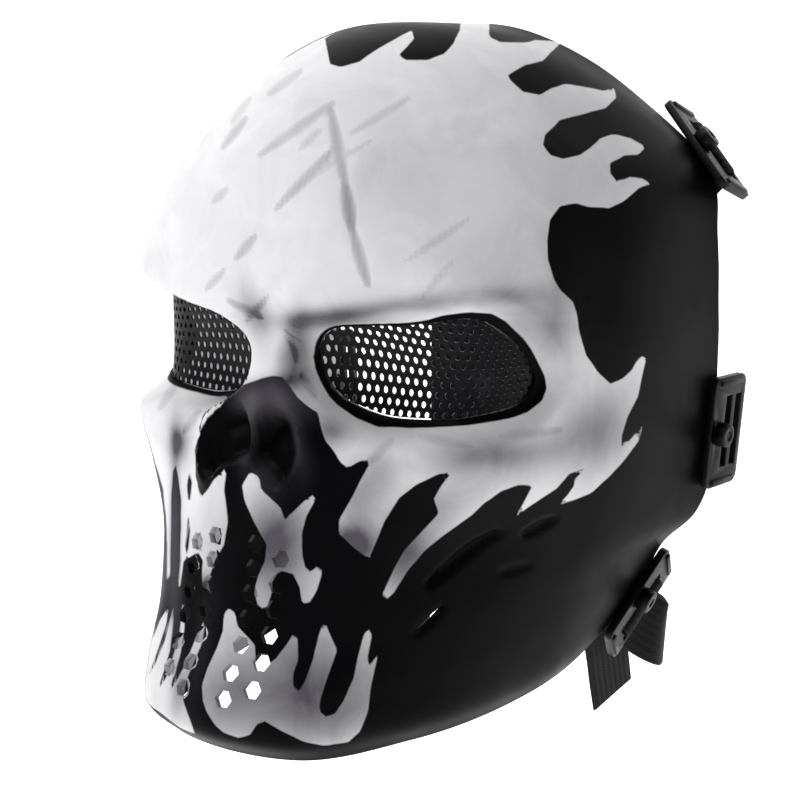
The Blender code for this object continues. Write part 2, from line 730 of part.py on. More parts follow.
def make_rivet(shop, name, frame):
    """A domed rivet through plate and shell, turned about its axis."""
    top = plate_base(frame) + PLATE_THICKNESS + CLEARANCE
    reach = RIVET_TAIL / 2
    face_low, _ = face_under(frame, -RIVET_INSET - reach, -RIVET_INSET + reach, reach)
    under = face_low - WALL - CLEARANCE - FACET_ROOM
    head, shaft = RIVET_HEAD / 2, RIVET_SHAFT / 2
    profile = [(0, top + RIVET_RISE), (head * 0.6, top + RIVET_RISE * 0.8), (head, top + RIVET_RISE * 0.3),
               (head, top), (shaft, top), (shaft, under), (reach, under),
               (reach, under - RIVET_TAIL_THICKNESS), (0, under - RIVET_TAIL_THICKNESS)]
    mesh = bpy.data.meshes.new(name)
    mesh.from_pydata([(x, 0, z) for x, z in profile], [(i, i + 1) for i in range(len(profile) - 1)], [])
    rivet = shop.part(name, mesh, shop.black, frame @ Matrix.Translation((-RIVET_INSET, 0, 0)))
    turn = rivet.modifiers.new("turn", "SCREW")
    turn.axis = "Z"
    turn.steps = RIVET_SIDES
    turn.render_steps = RIVET_SIDES
    turn.use_merge_vertices = True
    turn.merge_threshold = MERGE


def pad_point(angle, up, out):
    """Point of the pad's curve: angle round from the middle, height and distance outside its inner face."""
    radius = PAD_RADIUS + out
    return np.array([radius * math.sin(angle), PAD_BACK - PAD_RADIUS + radius * math.cos(angle), up])


def make_pad(shop):
    """The curved pad behind the head."""
    half = PAD_WIDTH / 2 / PAD_RADIUS
    angles = np.linspace(half, -half, PAD_STEPS + 1)
    ups = (PAD_MIDDLE + PAD_HEIGHT / 2, PAD_MIDDLE - PAD_HEIGHT / 2)
    grid = [[pad_point(angle, up, 0.0) for angle in angles] for up in ups]
    pad = shop.part("back_pad", sheet("back_pad", grid), shop.webbing)
    thicken(pad, PAD_THICKNESS, 1)


def pad_stations():
    """The last stations of an upper strap, along the pad's outer face to its sewn tip."""
    half = PAD_WIDTH / 2 / PAD_RADIUS
    radius = PAD_RADIUS + PAD_THICKNESS
    out = PAD_THICKNESS + 2 * CLEARANCE + WEBBING_THICKNESS / 2
    slope = math.radians(PAD_END.slope)
    stations = []
    for runs in PAD_END.runs:
        run = runs * WEBBING_WIDTH / 2
        angle = PAD_END.angle_share * half + run * math.cos(slope) / radius
        up = PAD_MIDDLE + PAD_END.up_share * PAD_HEIGHT / 2 + run * math.sin(slope)
        tangent = np.array([math.cos(angle), -math.sin(angle), 0.0])
        wide = -tangent * math.sin(slope) + np.array([0.0, 0.0, math.cos(slope)])
        stations.append((pad_point(angle, up, out), wide))
    return stations


def threaded_stations(frame, run):
    """The webbing's way through a buckle, from the front slot over the middle bar and out to the rear."""
    low = plate_base(frame)
    middle, top = low + PLATE_THICKNESS / 2, low + PLATE_THICKNESS
    slot = (MIDDLE_BAR + STRAP_SLOT) / 2
    half = WEBBING_THICKNESS / 2
    over = top + CLEARANCE + half
    under = low - CLEARANCE - half
    local = [(-slot + CLEARANCE, under - half), (-slot + CLEARANCE, middle), (-slot * 0.75, over - half),
             (0.0, over + CLEARANCE), (slot * 0.75, over - half), (slot, middle),
             (slot + half, under - half)]
    if run:
        local.insert(0, (-slot + WEBBING_THICKNESS, under - 4 * WEBBING_THICKNESS))
        local += [(PLATE_REAR, under - WEBBING_THICKNESS), (PLATE_REAR + run / 2, under - half)]
    else:
        local += [(slot + WEBBING_THICKNESS, under - 2 * WEBBING_THICKNESS)]
    wide = np.array(frame.col[1].to_3d())
    return [(np.array(frame @ Vector((x, 0, z))), wide) for x, z in local]


def route_stations(routes):
    """Stations of a strap on the wearer's left, given as shares of the face's sizes."""
    return [(np.array([r.across * WIDTH / 2, r.back * DEPTH, r.up * HEIGHT]),
             np.array([r.wide_across, r.wide_back, r.wide_up])) for r in routes]


def other_side(stations):
    """The same stations on the wearer's right."""
    return [(mirrored(point), mirrored(wide)) for point, wide in stations]


def webbing(name, stations):
    """A flat ribbon along a smooth path through its stations."""
    points, wides = [np.array(list(column), float) for column in zip(*stations)]
    for i in range(1, len(wides)):
        if wides[i] @ wides[i - 1] < 0:
            wides[i] = -wides[i]
    way = np.concatenate([[0], np.cumsum(np.linalg.norm(np.diff(points, axis=0), axis=1))])
    steps = [np.linspace(a, b, max(1, round((b - a) / WEBBING_STEP)), endpoint=False)
             for a, b in zip(way, way[1:])]
    at = np.concatenate(steps + [way[-1:]])
    centre, wide = smooth(way, points, at), smooth(way, wides, at)
    forward = np.gradient(centre, at, axis=0)
    rings = []
    for c, w, f in zip(centre, wide, forward):
        f = f / np.linalg.norm(f)
        w = w - f * (w @ f)
        w = w / np.linalg.norm(w) * WEBBING_WIDTH / 2
        n = np.cross(f, w)
        n = n / np.linalg.norm(n) * WEBBING_THICKNESS / 2
        rings.append([c + w + n, c - w + n, c - w - n, c + w - n])
    return lofted(name, rings)


def make_straps(shop, frames):
    """The two upper straps, and the neck strap between the lower buckles."""
    upper = threaded_stations(frames["upper", 1], 0.0) + pad_stations()
    for side, word in SIDES.items():
        name = "strap_upper_" + word
        shop.part(name, webbing(name, upper if side > 0 else other_side(upper)), shop.webbing)
    left = route_stations(STRAP_TAIL) + threaded_stations(frames["lower", 1], NECK_RUN)
    left += route_stations(NECK_ROUTE)
    right = other_side(left[:-1])[::-1]
    shop.part("strap_neck", webbing("strap_neck", left + right), shop.webbing)


def main():
    """Builds the mask."""
    shop = Workshop()
    frames = {(fixing.name, side): fixing_frame(fixing, side) for fixing in FIXINGS for side in SIDES}
    make_shell(shop, frames.values())
    for side, word in SIDES.items():
        make_screen(shop, "eye_screen_" + word, side)
    for (place, side), frame in frames.items():
        end = place + "_" + SIDES[side]
        make_plate(shop, "buckle_" + end, frame)
        make_rivet(shop, "rivet_" + end, frame)
    make_straps(shop, frames)
    make_pad(shop)


if __name__ == "__main__":
    main()
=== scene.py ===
"""A full-face skull mask, dressed with its paint, screens, fittings, webbing and pad.

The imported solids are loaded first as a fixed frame. Every piece here takes the place of one solid
and rides on the same body. Lengths in the tables are shares of the face's sizes or metres, and the
paint's outlines are places in the 800 x 800 frame of the camera.
"""
import math
from collections import namedtuple

import bmesh
import bpy
import numpy as np
from bpy.props import FloatProperty, FloatVectorProperty, IntProperty, PointerProperty
from mathutils import Matrix, Vector, noise


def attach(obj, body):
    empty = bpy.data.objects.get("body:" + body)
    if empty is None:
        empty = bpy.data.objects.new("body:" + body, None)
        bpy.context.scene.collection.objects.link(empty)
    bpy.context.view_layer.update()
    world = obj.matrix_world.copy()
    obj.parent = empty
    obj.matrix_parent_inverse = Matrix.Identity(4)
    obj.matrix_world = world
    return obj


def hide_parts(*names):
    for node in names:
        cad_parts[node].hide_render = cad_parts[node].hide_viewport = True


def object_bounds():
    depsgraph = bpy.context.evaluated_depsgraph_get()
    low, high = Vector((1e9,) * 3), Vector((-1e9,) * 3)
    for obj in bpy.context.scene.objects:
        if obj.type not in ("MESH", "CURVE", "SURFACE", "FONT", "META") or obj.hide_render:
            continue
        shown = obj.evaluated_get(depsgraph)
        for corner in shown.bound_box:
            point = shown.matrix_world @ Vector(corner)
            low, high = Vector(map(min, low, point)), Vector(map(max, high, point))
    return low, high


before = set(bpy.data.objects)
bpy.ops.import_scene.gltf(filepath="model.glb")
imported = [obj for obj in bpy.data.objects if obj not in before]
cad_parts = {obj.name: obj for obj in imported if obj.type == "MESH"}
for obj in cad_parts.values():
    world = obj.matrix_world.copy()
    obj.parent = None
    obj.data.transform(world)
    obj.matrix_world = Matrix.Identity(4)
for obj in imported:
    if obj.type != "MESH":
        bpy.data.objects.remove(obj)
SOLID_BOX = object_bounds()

bl_info = {
    "name": "Skull mask",
    "version": (1, 0, 0),
    "blender": (4, 5, 0),
    "location": "3D View > Sidebar > Skull Mask",
    "description": "Dresses the solids of a skull mask with paint, screens, fittings, webbing and pad",
    "category": "Object",
}

MM = 0.001
SIDES = {1: "left", -1: "right"}
FLIP = np.array([-1.0, 1.0, 1.0])

# The face: overall sizes that the section table is drawn in, in metres
WIDTH = 190 * MM
DEPTH = 200 * MM
HEIGHT = 250 * MM
WALL = 2.6 * MM
CLEARANCE = 0.35 * MM
SEAT_HEIGHT = 75 * MM

# Mesh density of the shell: share of the way where each band ends, and its rows or columns
ROW_BANDS = ((0.32, 74), (1.0, 160))
COLUMN_BANDS = ((0.62, 72), (1.0, 22))
FINE_ROWS = 200
LINE_POINTS = 240

# Eye opening and socket
EYE_WIDTH = 91 * MM
EYE_HEIGHT = 32 * MM
EYE_MIDDLE_U = 60.5 * MM
EYE_MIDDLE_V = 27 * MM
EYE_POINTS = 72
EYE_CUT_OUT = 5 * MM
EYE_CUT_IN = 6 * MM
SOCKET_SLOPE = 10.5 * MM
SOCKET_DEPTH_NOSE = 15 * MM
SOCKET_DEPTH_TEMPLE = 6 * MM
SCREEN_SINK = 0.8 * MM
SCREEN_REACH = 5 * MM
SCREEN_FLOOR_COLUMNS = 90
SCREEN_FLOOR_ROWS = 40
SCREEN_HOLE_SIDES = 12

# Nose cavity
NOSTRIL_WIDTH = 19 * MM
NOSTRIL_HEIGHT = 25 * MM
NOSTRIL_MIDDLE_U = 10.5 * MM
NOSTRIL_MIDDLE_V = -2.5 * MM
NOSTRIL_DEPTH = 10 * MM
NOSTRIL_SLOPE = 7 * MM

# How far the black paint reaches round the nose cavity and the eye openings
NOSTRIL_PAINT = 2.2 * MM
EYE_PAINT = 1.5 * MM

# Breathing holes
HOLE_ACROSS = 5.8 * MM
HOLE_PITCH = 8.3 * MM
INNER_HOLES = 7
OUTER_HOLES = 6
INNER_HOLE_X = 9.3 * MM
OUTER_HOLE_X = 19.2 * MM
INNER_HOLE_TOP = -33.4 * MM
OUTER_HOLE_TOP = -37.4 * MM
HOLE_CUT_DEPTH = 30 * MM
SLOT_LENGTH = 14 * MM
SLOT_WIDTH = 2.4 * MM
SLOT_U = 75 * MM
SLOT_V = -59 * MM
SLOT_TURN = 38.0
SLOT_SIDES = 16

# Buckle plates: X runs to the rear from the middle bar
PLATE_LENGTH = 44 * MM
PLATE_FRONT = 16 * MM
PLATE_REAR = 9 * MM
PLATE_THICKNESS = 3 * MM
PLATE_ROUNDING = 4 * MM
PLATE_EDGE = 0.5 * MM
STRAP_SLOT = 4.5 * MM
SLOT_ROOM = 1.2 * MM
MIDDLE_BAR = 3 * MM
RIM_GAP = 6.2 * MM
RIB_WIDTH = 2.2 * MM
RIB_RISE = 1.0 * MM
CORNER_STEPS = 8

# Rivets that hold the plates
RIVET_INSET = 10.8 * MM
RIVET_HEAD = 9.4 * MM
RIVET_RISE = 4.6 * MM
RIVET_SHAFT = 4 * MM
RIVET_TAIL = 7 * MM
RIVET_TAIL_THICKNESS = 1.2 * MM
RIVET_STEPS = 32
FACET_ROOM = 0.4 * MM

# Webbing, with half of its section from edge to edge: shares of half its width and half its thickness
WEBBING_STEP = 1.6 * MM
NECK_RUN = 12 * MM
SECTION_ACROSS = (-1.0, -0.97, -0.9, -0.6, -0.3, 0.0, 0.3, 0.6, 0.9, 0.97, 1.0)
SECTION_BULGE = (0.25, 0.7, 1.0, 0.92, 0.92, 0.92, 0.92, 0.92, 1.0, 0.7, 0.25)

# Pad behind the head: its solid's sizes, then the shares of its rounded corners, how far in its
# cloth rises from the edge, and how far its seams are drawn in
PAD_WIDTH = 118 * MM
PAD_HEIGHT = 92 * MM
PAD_RADIUS = 92 * MM
PAD_BACK = 118 * MM
PAD_MIDDLE = 4 * MM
PAD_SOLID = 4 * MM
PAD_ROWS = 72
PAD_COLUMNS = 96
PAD_CORNER = 0.16
PAD_TUCK = 0.9
PAD_CROWN = 6 * MM
PAD_EDGE = 0.3 * MM
SEAM_PRESS = 0.5 * MM
SEAM_REACH = 0.4
SWELL_REACH = 0.5
SWELL_SHARE = 0.6

# The camera, round the middle of the face: degrees, metres and pixels of an 800-pixel frame
FRAME_PIXELS = 800
CAMERA_AZIMUTH = 36.0
CAMERA_ELEVATION = 11.0
CAMERA_DISTANCE = 649 * MM
CAMERA_FOCAL = 1700.0
SENSOR = 36.0
PIXELS_PER_METRE = 2600.0

# Where the wearer's right side turns away from the camera, by the cosine, its paint is the mirror
# image of the left side's, over this much of a blend
TURNED_AWAY = 0.06
TURN_BLEND = 0.12

# The backdrop's cove, and the lamps round the mask: degrees from the camera and above the floor,
# distance and size in metres, and power as a share of the key light's
COVE_REACH = 3.0
COVE_BEND = 1.2
COVE_STEPS = 16
Lamp = namedtuple("Lamp", "name turn rise far size share")
LAMPS = (
    Lamp("key", -70, 62, 1.1, 0.9, 1.0),
    Lamp("front", -20, 20, 1.6, 1.2, 0.12),
    Lamp("rear", 120, 40, 1.4, 0.9, 0.20),
)

Section = namedtuple("Section", "z_front z_rear bend y_front x1 y1 x2 y2 x3 y3 x4 y4")

# One row for each section from the crown's rim down to the chin's rim: x is a share of half the
# width, y of the depth and z of the height, and bend is how late the section leaves its front level
SECTIONS = (
    Section(0.564, 0.372, 1.2, 0.140, 0.295, 0.155, 0.547, 0.240, 0.726, 0.350, 0.842, 0.430),
    Section(0.556, 0.336, 1.1, -0.075, 0.305, -0.040, 0.600, 0.085, 0.811, 0.250, 0.916, 0.420),
    Section(0.512, 0.304, 1.0, -0.215, 0.316, -0.180, 0.621, -0.040, 0.863, 0.170, 0.958, 0.400),
    Section(0.432, 0.256, 1.0, -0.350, 0.326, -0.310, 0.642, -0.195, 0.905, 0.090, 0.968, 0.395),
    Section(0.336, 0.200, 1.0, -0.420, 0.337, -0.390, 0.684, -0.285, 0.926, 0.025, 0.979, 0.395),
    Section(0.248, 0.144, 1.0, -0.435, 0.337, -0.410, 0.737, -0.310, 0.942, 0.000, 0.984, 0.395),
    Section(0.176, 0.104, 1.0, -0.420, 0.337, -0.395, 0.747, -0.305, 0.953, -0.010, 0.989, 0.395),
    Section(0.088, 0.048, 1.0, -0.400, 0.295, -0.375, 0.747, -0.305, 0.953, -0.010, 0.989, 0.395),
    Section(-0.012, -0.024, 1.0, -0.435, 0.305, -0.400, 0.716, -0.335, 0.932, -0.010, 0.984, 0.400),
    Section(-0.088, -0.112, 1.0, -0.470, 0.326, -0.430, 0.653, -0.355, 0.895, -0.010, 0.968, 0.410),
    Section(-0.180, -0.188, 1.2, -0.492, 0.358, -0.455, 0.600, -0.360, 0.842, -0.020, 0.926, 0.380),
    Section(-0.256, -0.232, 1.6, -0.517, 0.358, -0.480, 0.568, -0.375, 0.800, -0.030, 0.832, 0.340),
    Section(-0.328, -0.280, 3.0, -0.570, 0.358, -0.520, 0.568, -0.380, 0.758, -0.040, 0.779, 0.320),
    Section(-0.380, -0.316, 5.0, -0.580, 0.347, -0.535, 0.558, -0.380, 0.716, -0.040, 0.737, 0.305),
    Section(-0.420, -0.344, 5.0, -0.530, 0.326, -0.490, 0.526, -0.310, 0.653, -0.010, 0.695, 0.270),
)

Relief = namedtuple("Relief", "u v across up turn lift")

# Swellings and hollows of the face on the unrolled surface: shares of the width, the height and the
# depth, with the turn in degrees
RELIEFS = (
    Relief(0.20, 0.192, 0.137, 0.028, 6, 0.015),
    Relief(0.39, 0.216, 0.084, 0.040, -10, 0.012),
    Relief(0.00, 0.144, 0.053, 0.036, 0, -0.015),
    Relief(0.00, 0.056, 0.037, 0.048, 0, 0.012),
    Relief(0.35, -0.008, 0.147, 0.036, 6, 0.012),
    Relief(0.46, -0.144, 0.126, 0.064, 0, -0.020),
    Relief(0.17, -0.032, 0.042, 0.048, -15, -0.010),
    Relief(0.079, -0.016, 0.063, 0.056, 0, 0.048),
)

# The eye opening, from its inner corner over the top, as shares of half its width and half its height
EYE_OUTLINE = (
    (-1.00, 0.00), (-0.86, 0.36), (-0.56, 0.52), (-0.20, 0.70), (0.16, 0.94), (0.50, 1.00),
    (0.78, 0.58), (0.94, 0.06), (1.00, -0.46), (0.85, -0.86), (0.45, -0.98), (0.00, -1.00),
    (-0.44, -0.99), (-0.78, -0.74), (-0.94, -0.40),
)

# Half of the nose cavity, from its top down the outer side to its point and up the septum
NOSTRIL_OUTLINE = (
    (-0.22, 0.94), (0.22, 0.80), (0.60, 0.50), (0.95, -0.04), (0.86, -0.50), (0.48, -0.92),
    (-0.05, -0.62), (-0.54, -0.38), (-0.92, -0.16), (-0.92, 0.26), (-0.65, 0.70),
)

# The black border painted round the wearer's left eye, in the camera's frame
EYE_BORDER = (
    (313, 357), (315, 349), (324, 341), (339, 332), (356, 329), (373, 327), (409, 324), (427, 320),
    (445, 315), (470, 312), (491, 313), (506, 321), (523, 338), (531, 349), (537, 360), (545, 377),
    (547, 389), (542, 401), (528, 412), (513, 418), (484, 423), (465, 426), (445, 427), (409, 428),
    (378, 427), (356, 418), (336, 404), (328, 395), (322, 384), (316, 370),
)

# White paint over the forehead, the eyes and the cheeks, its flames first, in the camera's frame
SKULL_PAINT = (
    (60, -20), (318, -20), (326, 45), (330, 64), (340, 67), (359, 62), (379, 48), (412, 30), (414, 39),
    (399, 55), (405, 60), (428, 60), (444, 54), (453, 44), (460, 30), (463, 0), (490, 0), (489, 33),
    (490, 37), (500, 42), (525, 43), (535, 40), (562, 42), (551, 52), (543, 61), (525, 65), (508, 75),
    (510, 80), (523, 92), (540, 95), (552, 88), (565, 84), (580, 86), (604, 91), (614, 88), (616, 98),
    (605, 108), (580, 115), (560, 120), (545, 135), (543, 145), (550, 155), (563, 159), (580, 155),
    (590, 148), (600, 139), (613, 134), (630, 138), (646, 147), (638, 155), (625, 155), (610, 163),
    (610, 173), (617, 182), (630, 177), (641, 178), (652, 184), (640, 187), (625, 200), (610, 208),
    (590, 207), (575, 203), (560, 206), (550, 220), (547, 240), (548, 260), (554, 280), (560, 290),
    (573, 302), (577, 314), (579, 331), (586, 355), (598, 372), (610, 384), (622, 379), (632, 370),
    (639, 358), (647, 355), (642, 377), (638, 396), (627, 418), (622, 435), (621, 447), (630, 440),
    (642, 427), (639, 440), (625, 459), (610, 476), (591, 493), (574, 500), (560, 504), (567, 496),
    (574, 486), (575, 479), (586, 468), (569, 474), (557, 488), (542, 498), (516, 516), (525, 500),
    (533, 485), (518, 485), (501, 491), (484, 503), (472, 515), (445, 534), (424, 551), (407, 571),
    (394, 593), (386, 600), (382, 595), (392, 573), (404, 551), (428, 525), (439, 513), (434, 499),
    (441, 486), (453, 471), (438, 474), (416, 485), (399, 498), (385, 520), (378, 537), (369, 558),
    (354, 548), (339, 533), (339, 520), (350, 501), (361, 479), (369, 465), (367, 459), (358, 462),
    (348, 468), (340, 462), (335, 452), (325, 440), (322, 430), (318, 413), (310, 408), (298, 398),
    (290, 386), (281, 376), (272, 376), (262, 378), (252, 382), (240, 386), (228, 397), (222, 404),
    (213, 418), (205, 430), (198, 438), (195, 450), (196, 470), (198, 488), (201, 498), (207, 491),
    (214, 480), (222, 472), (228, 465), (226, 475), (224, 490), (228, 520), (224, 545), (215, 560),
    (210, 575), (203, 588), (202, 572), (203, 560), (198, 552), (190, 557), (184, 560), (180, 587),
    (178, 586), (180, 560), (181, 530), (181, 500), (179, 480), (176, 465), (173, 470), (171, 500),
    (171, 540), (170, 575), (167, 580), (167, 545), (166, 515), (163, 490), (158, 470), (150, 455),
    (143, 437), (120, 430), (60, 430),
)

# Small slits and slivers left black inside the white
SLITS = (
    ((189, 470), (192, 482), (190, 500), (188, 500), (187, 485)),
    ((188, 514), (190, 530), (189, 545), (187, 556), (185, 545), (187, 530)),
)

# Grey flames round the mouth and on the chin
MOUTH_FLAME = (
    (319, 491), (304, 501), (291, 514), (285, 520), (280, 507), (270, 498), (261, 490), (259, 477),
    (250, 472), (242, 485), (245, 501), (254, 522), (261, 535), (267, 544), (265, 561), (259, 574),
    (254, 592), (259, 609), (267, 607), (272, 592), (272, 579), (280, 570), (293, 574), (300, 587),
    (302, 603), (309, 603), (317, 590), (322, 574), (320, 564), (311, 572), (306, 570), (302, 555),
    (302, 533), (306, 516), (315, 501),
)
CHIN_FLAME = (
    (228, 608), (224, 615), (223, 631), (217, 648), (209, 665), (202, 685), (203, 702), (207, 712),
    (215, 725), (224, 733), (239, 738), (250, 735), (257, 724), (265, 721), (280, 730), (304, 742),
    (326, 746), (348, 742), (360, 731), (368, 711), (371, 685), (378, 655), (369, 665), (367, 659),
    (372, 635), (368, 629), (364, 635), (358, 657), (354, 678), (343, 702), (335, 714), (326, 717),
    (319, 711), (320, 700), (328, 676), (337, 650), (330, 635), (324, 620), (319, 635), (313, 661),
    (304, 683), (299, 692), (293, 687), (293, 674), (298, 661), (298, 639), (293, 634), (287, 644),
    (276, 659), (262, 668), (256, 663), (255, 645), (237, 626), (235, 613),
)
SIDE_CHIN_FLAME = (
    (206, 618), (202, 644), (191, 668), (185, 685), (183, 700), (190, 720), (195, 735), (180, 728),
    (160, 712), (144, 702), (125, 695), (128, 665), (143, 660), (152, 640), (160, 620), (168, 608),
    (166, 625), (158, 650), (148, 676), (155, 665), (165, 640), (174, 606), (173, 625), (170, 650),
    (158, 690), (166, 678), (174, 655), (180, 630), (183, 602), (185, 612), (184, 630), (180, 655),
    (169, 692), (176, 682), (185, 665), (193, 645), (199, 630),
)
FLAMES = (SKULL_PAINT, MOUTH_FLAME, CHIN_FLAME, SIDE_CHIN_FLAME)

Mark = namedtuple("Mark", "x0 y0 x1 y1 reach sink dark")

# Straight marks in the camera's frame: the ends and the reach in pixels, how deep the mark is pressed
# in metres, and how far the airbrush darkens the white there
MARKS = (
    Mark(431, 587, 505, 537, 9, 2.4 * MM, 0.0),
    Mark(528, 537, 554, 520, 8, 1.8 * MM, 0.0),
    Mark(416, 634, 445, 609, 8, 1.4 * MM, 0.0),
    Mark(505, 575, 530, 566, 8, 1.0 * MM, 0.0),
    Mark(331, 110, 345, 184, 8, 0.35 * MM, 0.40),
    Mark(345, 184, 352, 230, 9, 0.60 * MM, 0.55),
    Mark(352, 230, 368, 285, 8, 0.40 * MM, 0.45),
    Mark(269, 94, 301, 71, 6, 0.0, 0.25),
    Mark(223, 148, 246, 118, 6, 0.0, 0.31),
    Mark(232, 122, 250, 98, 5, 0.0, 0.19),
    Mark(260, 155, 333, 103, 7, 0.0, 0.31),
    Mark(352, 133, 409, 98, 6, 0.0, 0.22),
    Mark(276, 209, 338, 145, 7, 0.0, 0.40),
    Mark(290, 190, 372, 140, 5, 0.0, 0.19),
    Mark(236, 259, 255, 236, 7, 0.0, 0.37),
    Mark(214, 202, 227, 188, 6, 0.0, 0.25),
    Mark(300, 150, 320, 130, 6, 0.0, 0.22),
    Mark(405, 262, 470, 218, 6, 0.0, 0.19),
    Mark(420, 300, 452, 262, 6, 0.0, 0.15),
    Mark(206, 290, 224, 270, 6, 0.0, 0.31),
    Mark(228, 300, 262, 318, 6, 0.0, 0.31),
    Mark(246, 322, 268, 296, 6, 0.0, 0.31),
    Mark(176, 383, 160, 408, 6, 0.0, 0.22),
    Mark(200, 410, 184, 432, 6, 0.0, 0.25),
    Mark(392, 440, 366, 466, 7, 0.0, 0.19),
    Mark(420, 436, 470, 446, 7, 0.0, 0.15),
    Mark(500, 436, 560, 430, 7, 0.0, 0.17),
    Mark(300, 372, 316, 398, 7, 0.0, 0.28),
    Mark(286, 330, 300, 366, 7, 0.0, 0.28),
)

Shade = namedtuple("Shade", "x y across up turn dark")

# Soft grey patches in the camera's frame, partly the airbrushed grey of the paint and partly painted shade
# under the brow, round the eyes and the nose, on the temples and cheekbones and over the lower face: middle,
# half sizes, turn in degrees and darkness over the white
AIRBRUSH_AND_PAINTED_SHADES = (
    Shade(296, 350, 13, 38, 4, 0.87),
    Shade(262, 388, 42, 9, -14, 0.95),
    Shade(330, 318, 52, 11, -4, 0.80),
    Shade(430, 303, 90, 10, -6, 0.61),
    Shade(520, 325, 26, 34, -35, 0.51),
    Shade(256, 312, 14, 26, -25, 0.61),
    Shade(178, 442, 10, 20, 0, 0.90),
    Shade(175, 545, 5, 95, 0, 0.95),
    Shade(180, 690, 8, 30, 12, 0.36),
    Shade(330, 432, 20, 16, 30, 0.72),
    Shade(352, 545, 24, 22, 0, 0.90),
    Shade(362, 500, 26, 36, 0, 0.52),
    Shade(420, 540, 60, 34, -50, 0.61),
    Shade(500, 470, 80, 26, -20, 0.43),
    Shade(600, 430, 40, 50, 30, 0.65),
    Shade(565, 260, 34, 90, 0, 0.25),
    Shade(470, 250, 90, 60, 10, 0.12),
    Shade(390, 180, 50, 70, 0, 0.12),
    Shade(480, 150, 90, 40, 0, 0.12),
    Shade(560, 100, 60, 30, 20, 0.15),
    Shade(610, 180, 40, 40, 0, 0.20),
    Shade(310, 690, 90, 70, 0, 0.90),
    Shade(480, 454, 60, 16, -5, 0.50),
    Shade(558, 330, 20, 46, 0, 0.40),
    Shade(384, 470, 24, 24, 30, 0.35),
    Shade(400, 560, 26, 30, 0, 0.40),
    Shade(520, 300, 60, 14, 6, 0.12),
    Shade(220, 700, 40, 50, 0, 0.43),
    Shade(276, 545, 46, 60, 0, 0.96),
    Shade(205, 590, 12, 16, 0, 0.87),
    Shade(212, 540, 16, 50, 0, 0.20),
)

# Soft greys over the black round the nose
HAZES = (
    Shade(282, 396, 28, 18, 20, 0.75),
    Shade(250, 402, 14, 14, -30, 0.65),
    Shade(290, 440, 12, 34, -20, 0.30),
    Shade(268, 478, 14, 18, 0, 0.28),
    Shade(247, 432, 6, 30, 8, 0.60),
    Shade(175, 560, 7, 110, 0, 0.45),
    Shade(200, 650, 12, 60, 10, 0.14),
)

# Patches of the forehead and the cheek whose surface is uneven
ROUGH = (
    Shade(470, 145, 75, 38, 0, 1.0),
    Shade(415, 448, 70, 18, 8, 1.0),
    Shade(300, 180, 90, 80, 0, 0.35),
    Shade(560, 330, 40, 60, 0, 0.5),
)
# Their height and grain, how each finer layer fades and shrinks, and what is too faint to work out
ROUGH_HEIGHT = 0.55 * MM
ROUGH_GRAIN = 6.0 * MM
ROUGH_FADE = 0.7
ROUGH_STEP = 2.1
ROUGH_LAYERS = 4
FAINT = 0.02

Fixing = namedtuple("Fixing", "name down inner_down inset")

# Where each buckle sits: the share of the way down where its strap crosses the rear rim, and the
# place inside the rim that it points away from, by its own share and its distance in
FIXINGS = (
    Fixing("upper", 0.00, 0.055, 8 * MM),
    Fixing("middle", 0.69, 0.690, 10 * MM),
    Fixing("lower", 0.965, 0.935, 8 * MM),
)

Route = namedtuple("Route", "across back up wide_across wide_back wide_up")

# The webbing's ways: places as shares of half the width, the depth and the height, and the direction
# of the webbing's width there
NECK_ROUTE = (
    Route(0.71, 0.455, -0.420, 0.00, 0.25, 0.95),
    Route(0.60, 0.545, -0.432, 0.00, 0.10, 1.00),
    Route(0.35, 0.620, -0.438, 0.00, 0.00, 1.00),
    Route(0.00, 0.650, -0.440, 0.00, 0.00, 1.00),
)
STRAP_TAIL = (
    Route(0.516, 0.420, -0.532, 0.15, 0.95, 0.28),
    Route(0.526, 0.385, -0.448, 0.18, 0.88, 0.42),
    Route(0.558, 0.345, -0.368, 0.20, 0.75, 0.62),
)

PadEnd = namedtuple("PadEnd", "angle_share up_share slope runs")

# Where an upper strap is sewn to the pad's outer face: shares of half the pad's width and height, how
# steeply it runs down on to it, in degrees, and its stations there in half widths from the tip
PAD_END = PadEnd(0.60, 0.86, 45.0, (2.2, 1.4, 0.7, 0.0))


def linear(code):
    """An sRGB hex colour as linear light."""
    shares = [int(code[i:i + 2], 16) / 255 for i in (1, 3, 5)]
    return tuple(s / 12.92 if s <= 0.04045 else ((s + 0.055) / 1.055) ** 2.4 for s in shares)


class PaintSettings(bpy.types.PropertyGroup):
    """The shell's paint."""
    white: FloatVectorProperty(name="White paint", description="Sprayed over the skull and its flames",
                               subtype="COLOR", min=0, max=1, default=linear("#e9e9ec"))
    # The grey of the airbrushed patches and of the painted shade over the white, and of the soft greys over
    # the black
    shadow: FloatVectorProperty(name="Airbrushed and painted shade", description="Grey airbrushed and painted as shade over the white",
                                subtype="COLOR", min=0, max=1, default=linear("#57545c"))
    black: FloatVectorProperty(name="Black paint", description="Ground colour of the shell",
                               subtype="COLOR", min=0, max=1, default=linear("#080709"))
    edge: FloatProperty(name="Spray edge", description="How soft the edge between white and black is",
                        subtype="DISTANCE", unit="LENGTH", default=0.35 * MM, min=0.05 * MM, max=5 * MM)


